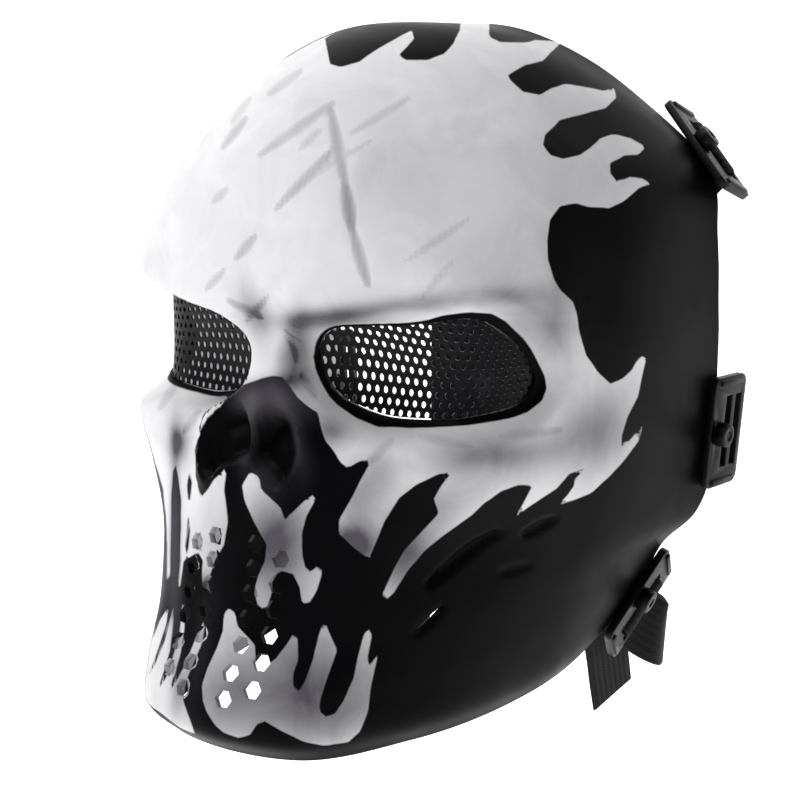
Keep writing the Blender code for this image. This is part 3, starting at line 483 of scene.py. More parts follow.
class ScreenSettings(bpy.types.PropertyGroup):
    """The perforated eye screens."""
    pitch: FloatProperty(name="Hole pitch", description="Distance between the screens' holes",
                         subtype="DISTANCE", unit="LENGTH", default=3.4 * MM, min=2 * MM, max=8 * MM)
    hole: FloatProperty(name="Hole", description="Diameter of each hole in the screens",
                        subtype="DISTANCE", unit="LENGTH", default=1.95 * MM, min=1 * MM, max=6 * MM)
    thickness: FloatProperty(name="Sheet", description="Thickness of the screens",
                             subtype="DISTANCE", unit="LENGTH", default=0.7 * MM, min=0.2 * MM, max=2 * MM)
    colour: FloatVectorProperty(name="Screen colour", description="Colour of the coated steel",
                                subtype="COLOR", min=0, max=1, default=linear("#111013"))


class StrapSettings(bpy.types.PropertyGroup):
    """The webbing, its buckles and the pad."""
    width: FloatProperty(name="Webbing width", description="Width of the straps",
                         subtype="DISTANCE", unit="LENGTH", default=26 * MM, min=10 * MM, max=40 * MM)
    thickness: FloatProperty(name="Webbing thickness", description="Thickness of the straps",
                             subtype="DISTANCE", unit="LENGTH", default=1.5 * MM, min=0.5 * MM, max=3 * MM)
    webbing: FloatVectorProperty(name="Webbing colour", description="Colour of the woven straps",
                                 subtype="COLOR", min=0, max=1, default=linear("#0b0b0c"))
    fitting: FloatVectorProperty(name="Buckle colour", description="Colour of the moulded buckles",
                                 subtype="COLOR", min=0, max=1, default=linear("#070608"))
    fabric: FloatVectorProperty(name="Pad colour", description="Colour of the pad's cloth",
                                subtype="COLOR", min=0, max=1, default=linear("#1c1b1e"))
    pad_swell: FloatProperty(name="Pad swell", description="How far the pad's cloth stands proud",
                             subtype="DISTANCE", unit="LENGTH", default=2.2 * MM, min=0, max=8 * MM)
    quilt_rows: IntProperty(name="Quilt rows", description="Sewn channels across the pad",
                            default=4, min=1, max=12)


class StageSettings(bpy.types.PropertyGroup):
    """The floor, the lights and the camera."""
    drop: FloatProperty(name="Floor drop", description="Distance from the mask's lowest point to the floor",
                        subtype="DISTANCE", unit="LENGTH", default=0.16, min=0, max=2)
    floor: FloatVectorProperty(name="Floor colour", description="Colour of the floor and the backdrop",
                               subtype="COLOR", min=0, max=1, default=linear("#fafafa"))
    key: FloatProperty(name="Key light", description="Power of the large light at the upper left",
                       subtype="POWER", unit="POWER", default=8.6, min=0, max=200)
    glow: FloatProperty(name="Backdrop glow", description="Light given off by the floor and the backdrop",
                        default=1.0, min=0, max=10)
    sky: FloatProperty(name="Sky", description="Strength of the even light all round",
                       default=0.16, min=0, max=5)


GROUPS = {"mask_paint": PaintSettings, "mask_screens": ScreenSettings, "mask_straps": StrapSettings,
          "mask_stage": StageSettings}


def slopes(knots, values):
    """Slope at each knot of the smooth curve through the values."""
    steps = np.diff(knots)
    rates = np.diff(values, axis=0) / steps.reshape((-1,) + (1,) * (values.ndim - 1))
    result = np.empty_like(values)
    result[0], result[-1] = rates[0], rates[-1]
    for i in range(1, len(knots) - 1):
        before, after = steps[i - 1], steps[i]
        result[i] = (rates[i - 1] * after + rates[i] * before) / (before + after)
    return result


def smooth(knots, values, at):
    """Values of the smooth curve through the given ones, read at the places in at."""
    knots, values, at = (np.asarray(a, float) for a in (knots, values, at))
    tangents = slopes(knots, values)
    i = np.clip(np.searchsorted(knots, at, side="right") - 1, 0, len(knots) - 2)
    step = knots[i + 1] - knots[i]
    f = (at - knots[i]) / step
    shape = (-1,) + (1,) * (values.ndim - 1)
    f, step = f.reshape(shape), step.reshape(shape)
    h00 = (1 + 2 * f) * (1 - f) ** 2
    h01 = f * f * (3 - 2 * f)
    h10 = f * (1 - f) ** 2
    h11 = f * f * (f - 1)
    return h00 * values[i] + h01 * values[i + 1] + step * (h10 * tangents[i] + h11 * tangents[i + 1])


def section_at(down):
    """Sections at shares of the way from the crown to the chin, along the middle plane."""
    table = np.array(SECTIONS)
    heights, fronts = table[:, 0] * HEIGHT, table[:, 3] * DEPTH
    way = np.concatenate([[0], np.cumsum(np.hypot(np.diff(heights), np.diff(fronts)))])
    return smooth(way / way[-1], table, down)


def row_line(section):
    """One section as a fine line from the middle plane to the rear rim, and the length along it."""
    half = WIDTH / 2
    _, _, _, y_front, x1, y1, x2, y2, x3, y3, x4, y4 = section
    xs = np.array([-x1, 0.0, x1, x2, x3, x4]) * half
    ys = np.array([y1, y_front, y1, y2, y3, y4]) * DEPTH
    way = np.concatenate([[0], np.cumsum(np.hypot(np.diff(xs), np.diff(ys)))])
    line = smooth(way, np.stack([xs, ys], 1), np.linspace(way[1], way[-1], LINE_POINTS))
    length = np.concatenate([[0], np.cumsum(np.hypot(*np.diff(line, axis=0).T))])
    z_front, z_rear, bend = section[0] * HEIGHT, section[1] * HEIGHT, section[2]
    back = np.clip((line[:, 1] - line[0, 1]) / (line[-1, 1] - line[0, 1]), 0, 1)
    z = z_front + (z_rear - z_front) * back ** bend
    return np.column_stack([line, z]), length


def along(line, length, at):
    """Points of a fine line at lengths along it."""
    return np.stack([np.interp(at, length, line[:, i]) for i in range(3)], -1)


FINE_LINES = [row_line(section) for section in section_at(np.linspace(0, 1, FINE_ROWS))]


def rim_point(down, inset=0.0):
    """Point at a length in from the rear rim, on the section at a share of the way down."""
    line, length = row_line(section_at([down])[0])
    return along(line, length, length[-1] - inset)


def base_grid(us, vs):
    """Points of the unshaped face over a rectangle of the unrolled surface, a row for each of vs."""
    lines = np.array([along(line, length, us) for line, length in FINE_LINES])
    grid = np.empty((len(vs), len(us), 3))
    for j in range(len(us)):
        for axis in range(3):
            grid[:, j, axis] = np.interp(-np.array(vs), -lines[:, j, 2], lines[:, j, axis])
    return grid


def base_point(u, v):
    """Point of the unshaped face at a place on the unrolled surface."""
    return base_grid([u], [v])[0, 0]


def base_normal(u, v):
    """Outward normal of the unshaped face at a place on the unrolled surface."""
    step = 1.5 * MM
    corners = base_grid([u - step, u + step], [v + step, v - step])
    normal = np.cross(corners[0, 1] - corners[1, 0], corners[0, 0] - corners[1, 1])
    return normal / np.linalg.norm(normal)


SEAT = base_point(0.0, SEAT_HEIGHT) + (0.0, WALL, 0.0)


def step_up(x):
    """Smooth step from 0 to 1."""
    x = np.clip(x, 0, 1)
    return x * x * (3 - 2 * x)


def outline_points(table, width, height, middle_u, middle_v, count, grow=0.0):
    """A closed smooth outline on the unrolled face, from its table of shares."""
    points = np.array(table)
    closed = np.concatenate([points[-2:], points, points[:3]])
    places = np.arange(-2, len(points) + 3)
    loop = smooth(places, closed, np.arange(count) * len(points) / count)
    return loop * (width / 2 + grow, height / 2 + grow) + (middle_u, middle_v)


def eye_outline(count, grow=0.0):
    """The eye opening's outline on the unrolled face."""
    return outline_points(EYE_OUTLINE, EYE_WIDTH, EYE_HEIGHT, EYE_MIDDLE_U, EYE_MIDDLE_V, count, grow)


def nostril_outline(count):
    """The outline of half the nose cavity on the unrolled face."""
    return outline_points(NOSTRIL_OUTLINE, NOSTRIL_WIDTH, NOSTRIL_HEIGHT, NOSTRIL_MIDDLE_U,
                          NOSTRIL_MIDDLE_V, count)


def distance_inside(points, loop, batch=4000):
    """Signed distance of points to a closed outline, positive inside it."""
    loop = np.asarray(loop, float)
    if len(points) > batch:
        return np.concatenate([distance_inside(points[i:i + batch], loop)
                               for i in range(0, len(points), batch)])
    start, end = loop, np.roll(loop, -1, axis=0)
    edge = end - start
    rel = points[:, None, :] - start[None]
    share = np.clip((rel * edge).sum(-1) / (edge * edge).sum(-1), 0, 1)
    gap = np.linalg.norm(rel - share[..., None] * edge, axis=-1).min(1)
    y, y0, y1 = points[:, 1, None], start[None, :, 1], end[None, :, 1]
    crosses = (y0 > y) != (y1 > y)
    with np.errstate(divide="ignore", invalid="ignore"):
        x_cross = start[None, :, 0] + (y - y0) * edge[None, :, 0] / (y1 - y0)
    odd = (crosses & (points[:, 0, None] < x_cross)).sum(1) % 2
    return np.where(odd == 1, gap, -gap)


def socket_depth(u):
    """Depth of the eye socket's floor below the face, from the nose side to the temple side."""
    outward = (u - EYE_MIDDLE_U) / EYE_WIDTH + 0.5
    return SOCKET_DEPTH_NOSE + (SOCKET_DEPTH_TEMPLE - SOCKET_DEPTH_NOSE) * step_up(outward)


def camera_axes():
    """The camera's right, up and backward directions."""
    turn, rise = math.radians(CAMERA_AZIMUTH), math.radians(CAMERA_ELEVATION)
    back = np.array([math.sin(turn) * math.cos(rise), -math.cos(turn) * math.cos(rise), math.sin(rise)])
    right = np.array([math.cos(turn), math.sin(turn), 0.0])
    return right, np.cross(back, right), back


def in_frame(points):
    """Where points fall in the camera's frame, in pixels from its upper left corner."""
    right, up, back = camera_axes()
    way = points - back * CAMERA_DISTANCE
    depth = -(way @ back)
    middle = FRAME_PIXELS / 2
    return np.stack([middle + CAMERA_FOCAL * (way @ right) / depth,
                     middle - CAMERA_FOCAL * (way @ up) / depth], -1)


def seen(points, normals, measure):
    """A measure read in the camera's frame, or at the mirror image where the face turns away."""
    _, _, back = camera_axes()
    way = back * CAMERA_DISTANCE - points
    facing = (way * normals).sum(-1) / np.linalg.norm(way, axis=-1)
    share = np.where(points[:, 0] < 0, step_up((facing - TURNED_AWAY) / TURN_BLEND), 1.0)
    result = measure(in_frame(points)) * share
    away = share < 1
    if away.any():
        result[away] += measure(in_frame(points[away] * FLIP)) * (1 - share[away])
    return result


def off_mark(places, mark):
    """How far places are from a straight mark, as shares of its reach, which is less at its ends."""
    start, end = np.array([mark.x0, mark.y0]), np.array([mark.x1, mark.y1])
    edge = end - start
    share = np.clip(((places - start) @ edge) / (edge @ edge), 0, 1)
    gap = np.linalg.norm(places - start - share[:, None] * edge, axis=-1)
    return gap / (mark.reach * (0.6 + 0.4 * np.sin(math.pi * share)))


def strokes(places):
    """Darkness of the brushed strokes: highest on each one, 0 at its reach and lower beyond."""
    values = [mark.dark * (1 - off_mark(places, mark) ** 2) for mark in MARKS if mark.dark]
    return np.clip(np.max(values, axis=0), -1, 1)


def in_shade(places, shade):
    """How deep places lie in a soft patch."""
    c, s = math.cos(math.radians(shade.turn)), math.sin(math.radians(shade.turn))
    dx, dy = places[:, 0] - shade.x, places[:, 1] - shade.y
    a = (dx * c + dy * s) / shade.across
    b = (dy * c - dx * s) / shade.up
    return np.exp(-(a * a + b * b)) * shade.dark


def relief_lift(uv):
    """Outward lift of the face from its swellings and hollows, its sockets and its nose."""
    lift = np.zeros(len(uv))
    for r in RELIEFS:
        c, s = math.cos(math.radians(r.turn)), math.sin(math.radians(r.turn))
        du, dv = uv[:, 0] - r.u * WIDTH, uv[:, 1] - r.v * HEIGHT
        a = (du * c + dv * s) / (r.across * WIDTH)
        b = (dv * c - du * s) / (r.up * HEIGHT)
        lift += r.lift * DEPTH * np.exp(-(a * a + b * b))
    eye = distance_inside(uv, eye_outline(EYE_POINTS))
    nose = distance_inside(uv, nostril_outline(EYE_POINTS))
    lift -= socket_depth(uv[:, 0]) * step_up((eye + SOCKET_SLOPE) / SOCKET_SLOPE)
    lift -= NOSTRIL_DEPTH * step_up((nose + NOSTRIL_SLOPE / 2) / NOSTRIL_SLOPE)
    return lift


def pressed(places):
    """Outward lift of the face from its marks and its uneven patches."""
    lift = np.zeros(len(places))
    for mark in MARKS:
        if mark.sink:
            lift -= mark.sink * step_up(1 - off_mark(places, mark))
    grain = ROUGH_GRAIN * PIXELS_PER_METRE
    amount = sum(in_shade(places, patch) for patch in ROUGH)
    spots = np.nonzero(amount > FAINT)[0]
    wave = [noise.fractal((x / grain, y / grain, 0.0), ROUGH_FADE, ROUGH_STEP, ROUGH_LAYERS)
            for x, y in places[spots]]
    lift[spots] += ROUGH_HEIGHT * np.array(wave) * amount[spots]
    return lift


def grid_normals(grid):
    """Outward unit normals of a grid of points, rows down and columns out to the rim."""
    normal = np.cross(np.gradient(grid, axis=0), np.gradient(grid, axis=1))
    return normal / np.linalg.norm(normal, axis=-1, keepdims=True)


def banded(bands):
    """Shares from 0 to 1, evenly spaced within each band."""
    shares, start = [0.0], 0.0
    for end, count in bands:
        shares += [start + (end - start) * (i + 1) / count for i in range(count)]
        start = end
    return np.array(shares)


def shaped_face():
    """The whole face as a grid of points from rim to rim, with its unrolled places."""
    shares = banded(COLUMN_BANDS)
    lines = [row_line(section) for section in section_at(banded(ROW_BANDS))]
    at = [shares * length[-1] for _, length in lines]
    grid = np.array([along(line, length, a) for (line, length), a in zip(lines, at)])
    places = np.stack([np.array(at), grid[..., 2]], -1)
    normals = grid_normals(grid)
    normals[:, 0, 0] = 0
    shape = grid.shape[:2]
    common = relief_lift(places.reshape(-1, 2))
    halves = []
    for flip in (FLIP, np.ones(3)):
        points, ways = grid * flip, normals * flip
        lift = common + seen(points.reshape(-1, 3), ways.reshape(-1, 3), pressed)
        halves.append(points + ways * lift.reshape(shape)[..., None])
    right, left = halves
    left[:, 0, 0] = 0
    whole = np.concatenate([right[:, :0:-1], left], 1)
    unrolled = np.concatenate([(places * (-1, 1))[:, :0:-1], places], 1)
    return whole, unrolled


def finished(build, name):
    """The mesh of a built solid, its faces turned outward."""
    bmesh.ops.recalc_face_normals(build, faces=build.faces)
    mesh = bpy.data.meshes.new(name)
    build.to_mesh(mesh)
    build.free()
    return mesh


def outward(mesh):
    """Turns the faces of a closed mesh outward."""
    build = bmesh.new()
    build.from_mesh(mesh)
    bmesh.ops.recalc_face_normals(build, faces=build.faces)
    build.to_mesh(mesh)
    build.free()


def mapped(mesh, places):
    """Keeps the unrolled place of each of a mesh's points as its map."""
    corners = np.empty(len(mesh.loops), int)
    mesh.loops.foreach_get("vertex_index", corners)
    mesh.uv_layers.new(name="unrolled").data.foreach_set("uv", places[corners].ravel())


def sheet(name, grid, places=None):
    """An open surface through a grid of points, with its unrolled places as a map."""
    rows, columns = grid.shape[:2]
    index = np.arange(rows * columns).reshape(rows, columns)
    corners = np.stack([index[:-1, :-1], index[1:, :-1], index[1:, 1:], index[:-1, 1:]], -1)
    mesh = bpy.data.meshes.new(name)
    mesh.from_pydata(grid.reshape(-1, 3).tolist(), [], corners.reshape(-1, 4).tolist())
    if places is not None:
        mapped(mesh, places.reshape(-1, 2))
    return mesh


def lofted(name, rings):
    """A closed solid through rings with equal numbers of points, its ends closed by cross strips."""
    build = bmesh.new()
    loops = [[build.verts.new(p) for p in ring] for ring in rings]
    count = len(loops[0])
    for first, second in zip(loops, loops[1:]):
        for i in range(count):
            j = (i + 1) % count
            build.faces.new((first[i], first[j], second[j], second[i]))
    for loop in (loops[0], loops[-1]):
        for i in range(count // 2):
            strip = (loop[i], loop[i + 1], loop[(count - i - 1) % count], loop[(count - i) % count])
            build.faces.new(dict.fromkeys(strip))
    return finished(build, name)


def prism(name, centre, axis, corner_way, radius_x, radius_y, sides, depth):
    """A prism about an axis through a point, one of its corners lying towards a direction."""
    axis = Vector(axis).normalized()
    x = Vector(corner_way)
    x = (x - axis * x.dot(axis)).normalized()
    place = Matrix((x * radius_x, axis.cross(x) * radius_y, axis)).transposed().to_4x4()
    place.translation = Vector(centre)
    build = bmesh.new()
    bmesh.ops.create_cone(build, cap_ends=True, segments=sides, radius1=1, radius2=1, depth=depth)
    bmesh.ops.transform(build, matrix=place, verts=build.verts)
    return finished(build, name)


def box(name, size, place):
    """A box of a given size, put in its place by a matrix."""
    build = bmesh.new()
    bmesh.ops.create_cube(build, size=1)
    bmesh.ops.transform(build, matrix=place @ Matrix.Diagonal((*size, 1)), verts=build.verts)
    return finished(build, name)


def bench(name, meshes):
    """A working object made of one or more solids."""
    build = bmesh.new()
    for mesh in meshes:
        build.from_mesh(mesh)
        bpy.data.meshes.remove(mesh)
    whole = bpy.data.meshes.new(name)
    build.to_mesh(whole)
    build.free()
    thing = bpy.data.objects.new(name, whole)
    bpy.context.scene.collection.objects.link(thing)
    return thing


def cut(thing, cutter, operation="DIFFERENCE"):
    """Cuts a working object with another, or joins it, or keeps what both fill."""
    step = thing.modifiers.new(cutter.name, "BOOLEAN")
    step.operation = operation
    step.object = cutter
    step.solver = "EXACT"


def taken(thing, *spent):
    """The mesh of a working object with its modifiers applied; the working objects go."""
    solid = bpy.data.meshes.new_from_object(thing.evaluated_get(bpy.context.evaluated_depsgraph_get()))
    for used in (thing,) + spent:
        bpy.data.objects.remove(used, do_unlink=True)
    return solid


def placed(name, mesh, nodes, materials, crease=40.0):
    """Stands a mesh of the face's own frame in the scene, for the solids that it replaces."""
    mesh.transform(Matrix.Translation(-Vector(SEAT)))
    mesh.materials.clear()
    for made in materials:
        mesh.materials.append(made)
    mesh.shade_smooth()
    mesh.set_sharp_from_angle(angle=math.radians(crease))
    piece = bpy.data.objects.new(name, mesh)
    bpy.context.scene.collection.objects.link(piece)
    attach(piece, "root")
    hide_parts(*nodes)
    return piece


def add(tree, kind, inputs=None, **settings):
    """Adds a node with its settings, and links or sets its inputs."""
    made = tree.nodes.new("ShaderNode" + kind)
    for key, value in settings.items():
        setattr(made, key, value)
    for key, value in (inputs or {}).items():
        if isinstance(value, bpy.types.NodeSocket):
            tree.links.new(value, made.inputs[key])
        else:
            made.inputs[key].default_value = value
    return made


def new_material(name):
    """A node material with its shader, ready to be drawn."""
    made = bpy.data.materials.new(name)
    made.use_nodes = True
    return made, made.node_tree, made.node_tree.nodes["Principled BSDF"]


def set_shader(tree, shader, values):
    """Sets or links the shader's own inputs."""
    for key, value in values.items():
        if isinstance(value, bpy.types.NodeSocket):
            tree.links.new(value, shader.inputs[key])
        else:
            shader.inputs[key].default_value = value


def sprayed_shell(paint):
    """Satin acrylic paint sprayed over moulded plastic: soft broad highlights, a faint orange peel,
    crisp masked flames and grey airbrushed shade that fades into the white, together with painted
    shade under the brow, round the eyes and the nose, on the temples and cheekbones and over the lower face."""
    made, tree, shader = new_material("sprayed_satin_acrylic")
    place = add(tree, "TexCoord").outputs["Object"]
    inside = add(tree, "Attribute", attribute_name="paint").outputs["Fac"]
    # Grey over the white: the airbrushed patches together with painted shade in the face's hollows and turns
    shade = add(tree, "Attribute", attribute_name="shade").outputs["Fac"]
    haze = add(tree, "Attribute", attribute_name="haze").outputs["Fac"]
    stroke = add(tree, "Attribute", attribute_name="stroke").outputs["Fac"]
    brushed = add(tree, "Math", {0: stroke, 1: 0.0}, operation="MAXIMUM").outputs[0]
    wander = add(tree, "TexNoise", {"Vector": place, "Scale": 1 / (9 * MM), "Detail": 3.0}).outputs["Fac"]
    streak = add(tree, "TexNoise", {"Vector": place, "Scale": 1 / (22 * MM), "Detail": 5.0,
                                    "Roughness": 0.6, "Distortion": 0.8}).outputs["Fac"]
    speck = add(tree, "TexNoise", {"Vector": place, "Scale": 1 / (0.9 * MM), "Detail": 2.0}).outputs["Fac"]
    shift = add(tree, "MapRange", {"Value": wander, "To Min": -0.3 * MM, "To Max": 0.3 * MM}).outputs[0]
    edge = add(tree, "Math", {0: inside, 1: shift}, operation="ADD").outputs[0]
    white = add(tree, "MapRange", {"Value": edge, "From Min": -paint.edge, "From Max": paint.edge},
                interpolation_type="SMOOTHSTEP").outputs[0]
    smoke = add(tree, "MapRange", {"Value": streak, "From Min": 0.35, "From Max": 0.75, "To Min": 0.0,
                                   "To Max": 0.16}).outputs[0]
    soft = add(tree, "Math", {0: shade, 1: smoke}, operation="ADD").outputs[0]
    deep = add(tree, "Math", {0: soft, 1: brushed}, operation="ADD", use_clamp=True).outputs[0]
    # The white mixed towards the grey by the airbrush, the strokes, the streaks and the painted shade
    light = add(tree, "Mix", {"Factor": deep, 6: (*paint.white, 1), 7: (*paint.shadow, 1)},
                data_type="RGBA").outputs[2]
    dark = add(tree, "Mix", {"Factor": haze, 6: (*paint.black, 1), 7: (*paint.shadow, 1)},
               data_type="RGBA").outputs[2]
    colour = add(tree, "Mix", {"Factor": white, 6: dark, 7: light}, data_type="RGBA").outputs[2]
    rough = add(tree, "MapRange", {"Value": streak, "From Min": 0.3, "From Max": 0.7, "To Min": 0.36,
                                   "To Max": 0.46}).outputs[0]
    peel = add(tree, "Bump", {"Height": speck, "Strength": 0.10, "Distance": 0.05 * MM}).outputs[0]
    layer = add(tree, "Bump", {"Height": white, "Strength": 0.5, "Distance": 0.06 * MM,
                               "Normal": peel}).outputs[0]
    set_shader(tree, shader, {"Base Color": colour, "Roughness": rough, "Normal": layer,
                              "Specular IOR Level": 0.03})
    return made


def coated_steel(screens):
    """Punched steel sheet with a black powder coat: small hard glints along the holes' edges and a
    fine grit, slightly rubbed where it is handled."""
    made, tree, shader = new_material("powder_coated_steel")
    place = add(tree, "TexCoord").outputs["Object"]
    grit = add(tree, "TexNoise", {"Vector": place, "Scale": 1 / (0.5 * MM), "Detail": 2.0}).outputs["Fac"]
    rub = add(tree, "TexNoise", {"Vector": place, "Scale": 1 / (12 * MM), "Detail": 4.0}).outputs["Fac"]
    worn = add(tree, "MapRange", {"Value": rub, "From Min": 0.55, "From Max": 0.8}).outputs[0]
    grey = tuple(min(1.0, 3 * c) for c in screens.colour)
    colour = add(tree, "Mix", {"Factor": worn, 6: (*screens.colour, 1), 7: (*grey, 1)},
                 data_type="RGBA").outputs[2]
    rough = add(tree, "MapRange", {"Value": grit, "To Min": 0.28, "To Max": 0.42}).outputs[0]
    bump = add(tree, "Bump", {"Height": grit, "Strength": 0.2, "Distance": 0.04 * MM}).outputs[0]
    set_shader(tree, shader, {"Base Color": colour, "Roughness": rough, "Normal": bump,
                              "Specular IOR Level": 0.1})
    return made


def moulded_nylon(colour):
    """Moulded nylon: black with a low sheen and a fine eroded texture, shinier where it is rubbed."""
    made, tree, shader = new_material("moulded_nylon")
    place = add(tree, "TexCoord").outputs["Object"]
    spark = add(tree, "TexNoise", {"Vector": place, "Scale": 1 / (0.6 * MM), "Detail": 3.0}).outputs["Fac"]
    cloud = add(tree, "TexNoise", {"Vector": place, "Scale": 1 / (8 * MM), "Detail": 3.0}).outputs["Fac"]
    rough = add(tree, "MapRange", {"Value": cloud, "To Min": 0.30, "To Max": 0.48}).outputs[0]
    lighter = tuple(min(1.0, 1.6 * c) for c in colour)
    tint = add(tree, "Mix", {"Factor": cloud, 6: (*colour, 1), 7: (*lighter, 1)},
               data_type="RGBA").outputs[2]
    bump = add(tree, "Bump", {"Height": spark, "Strength": 0.2, "Distance": 0.05 * MM}).outputs[0]
    set_shader(tree, shader, {"Base Color": tint, "Roughness": rough, "Normal": bump,
                              "Specular IOR Level": 0.12})
    return made


def woven_polypropylene(colour):
    """Woven polypropylene webbing: ribs of yarn across the strap in a fine herringbone, with a soft
    plastic sheen on the yarns; the threads are drawn at 1.6 mm, twice the real ones, so that they show."""
    made, tree, shader = new_material("woven_polypropylene")
    layer = add(tree, "UVMap", uv_map="unrolled").outputs["UV"]
    axes = add(tree, "SeparateXYZ", {"Vector": layer})
    thread = 1.6 * MM
    turns = 2 * math.pi / thread
    across = add(tree, "Math", {0: axes.outputs["Y"], 1: turns / 2}, operation="MULTIPLY").outputs[0]
    zigzag = add(tree, "Math", {0: axes.outputs["Y"], 1: 3.2 * MM}, operation="PINGPONG").outputs[0]
    slant = add(tree, "Math", {0: axes.outputs["X"], 1: zigzag}, operation="ADD").outputs[0]
    phase = add(tree, "Math", {0: slant, 1: turns}, operation="MULTIPLY").outputs[0]
    rib = add(tree, "Math", {0: phase}, operation="SINE").outputs[0]
    yarn = add(tree, "Math", {0: across}, operation="COSINE").outputs[0]
    both = add(tree, "Math", {0: rib, 1: 0.35, 2: yarn}, operation="MULTIPLY_ADD").outputs[0]
    fuzz = add(tree, "TexNoise", {"Vector": layer, "Scale": 1 / (0.4 * MM), "Detail": 2.0}).outputs["Fac"]
    height = add(tree, "Math", {0: fuzz, 1: 0.5, 2: both}, operation="MULTIPLY_ADD").outputs[0]
    # The raised yarns are drawn lighter than the low ones: the weave's pattern with a painted highlight on
    # their crests
    light = tuple(min(1.0, 2.4 * c) for c in colour)
    tint = add(tree, "MapRange", {"Value": height, "From Min": -1.2, "From Max": 1.6}).outputs[0]
    shown = add(tree, "Mix", {"Factor": tint, 6: (*colour, 1), 7: (*light, 1)},
                data_type="RGBA").outputs[2]
    bump = add(tree, "Bump", {"Height": height, "Strength": 0.6, "Distance": 0.18 * MM}).outputs[0]
    set_shader(tree, shader, {"Base Color": shown, "Roughness": 0.62, "Normal": bump,
                              "Specular IOR Level": 0.1, "Sheen Weight": 0.02})
    return made


def brushed_polyester(colour):
    """Brushed polyester cloth over foam: matte, with a faint knit and a soft sheen at glancing light."""
    made, tree, shader = new_material("brushed_polyester")
    layer = add(tree, "UVMap", uv_map="unrolled").outputs["UV"]
    knit = add(tree, "TexVoronoi", {"Vector": layer, "Scale": 1 / (1.3 * MM)}).outputs["Distance"]
    nap = add(tree, "TexNoise", {"Vector": layer, "Scale": 1 / (0.7 * MM), "Detail": 3.0}).outputs["Fac"]
    height = add(tree, "Math", {0: nap, 1: 0.6, 2: knit}, operation="MULTIPLY_ADD").outputs[0]
    light = tuple(min(1.0, 2.0 * c) for c in colour)
    shown = add(tree, "Mix", {"Factor": nap, 6: (*colour, 1), 7: (*light, 1)}, data_type="RGBA").outputs[2]
    bump = add(tree, "Bump", {"Height": height, "Strength": 0.5, "Distance": 0.2 * MM}).outputs[0]
    set_shader(tree, shader, {"Base Color": shown, "Roughness": 0.9, "Normal": bump,
                              "Specular IOR Level": 0.1, "Sheen Weight": 0.05})
    return made


def eye_plug(side, grow):
    """A solid through one eye opening, its walls square to the face."""
    outer, inner = [], []
    for u, v in eye_outline(EYE_POINTS, grow):
        point, normal = base_point(u, v), base_normal(u, v)
        floor = point - normal * socket_depth(u)
        outer.append(floor + normal * EYE_CUT_OUT)
        inner.append(floor - normal * (WALL + EYE_CUT_IN))
    if side < 0:
        outer, inner = [p * FLIP for p in outer], [p * FLIP for p in inner]
    return lofted("eye_plug", [outer, inner])


def breathing_cutters():
    """Prisms for the mouth holes and the cheek slots, on both sides."""
    places = [(INNER_HOLE_X, INNER_HOLE_TOP - HOLE_PITCH * i) for i in range(INNER_HOLES)]
    places += [(OUTER_HOLE_X, OUTER_HOLE_TOP - HOLE_PITCH * i) for i in range(OUTER_HOLES)]
    meshes = []
    up = np.array([0.0, 0.0, 1.0])
    radius = HOLE_ACROSS / math.sqrt(3)
    turn = math.radians(SLOT_TURN)
    slot_point, slot_normal = base_point(SLOT_U, SLOT_V), base_normal(SLOT_U, SLOT_V)
    slant = np.cross(up, slot_normal) * math.cos(turn) + up * math.sin(turn)
    for flip in (np.ones(3), FLIP):
        for u, v in places:
            meshes.append(prism("hole", base_point(u, v) * flip, base_normal(u, v) * flip, up, radius,
                                radius, 6, HOLE_CUT_DEPTH))
        meshes.append(prism("slot", slot_point * flip, slot_normal * flip, slant * flip,
                            SLOT_LENGTH / 2, SLOT_WIDTH / 2, SLOT_SIDES, HOLE_CUT_DEPTH))
    return meshes


def fixing_frame(fixing, side):
    """A buckle's frame: origin at its middle bar, X away from the shell, Y along the bar, Z outward."""
    step = 0.01
    edge, inner = rim_point(fixing.down), rim_point(fixing.inner_down, fixing.inset)
    across = inner - rim_point(fixing.inner_down, fixing.inset + fixing.inset / 2)
    down = rim_point(fixing.inner_down, fixing.inset) - rim_point(fixing.inner_down - step, fixing.inset)
    z = Vector(np.cross(down, across)).normalized()
    x = Vector(edge - inner)
    x = (x - z * x.dot(z)).normalized()
    y = z.cross(x)
    made = Matrix((x, y, z)).transposed().to_4x4()
    made.translation = Vector(edge) + x * RIM_GAP
    if side < 0:
        made = Matrix.Diagonal((-1, 1, 1, 1)) @ made @ Matrix.Diagonal((1, -1, 1, 1))
    return made


def rivet_axis(made):
    """A point on the axis of a buckle's rivet, and the axis."""
    return made @ Vector((-RIVET_INSET, 0, 0)), made.col[2].to_3d()


def face_under(made, front, rear, half_length):
    """Lowest and highest of the face under a stretch of a buckle's frame."""
    points = np.concatenate([line for line, _ in FINE_LINES])
    side = 1 if made.translation.x > 0 else -1
    into = np.array(made.inverted())
    local = points * (side, 1, 1) @ into[:3, :3].T + into[:3, 3]
    near = (local[:, 0] > front) & (local[:, 0] < rear) & (abs(local[:, 1]) < half_length)
    heights = local[near & (abs(local[:, 2]) < half_length), 2]
    return heights.min(), heights.max()


def plate_base(made):
    """Height of a plate's underside in its frame, just clear of the face."""
    _, high = face_under(made, -PLATE_FRONT, PLATE_REAR, PLATE_LENGTH / 2)
    return max(high, 0.0) + CLEARANCE


FIXING_FRAMES = {(f.name, side): fixing_frame(f, side) for f in FIXINGS for side in SIDES}


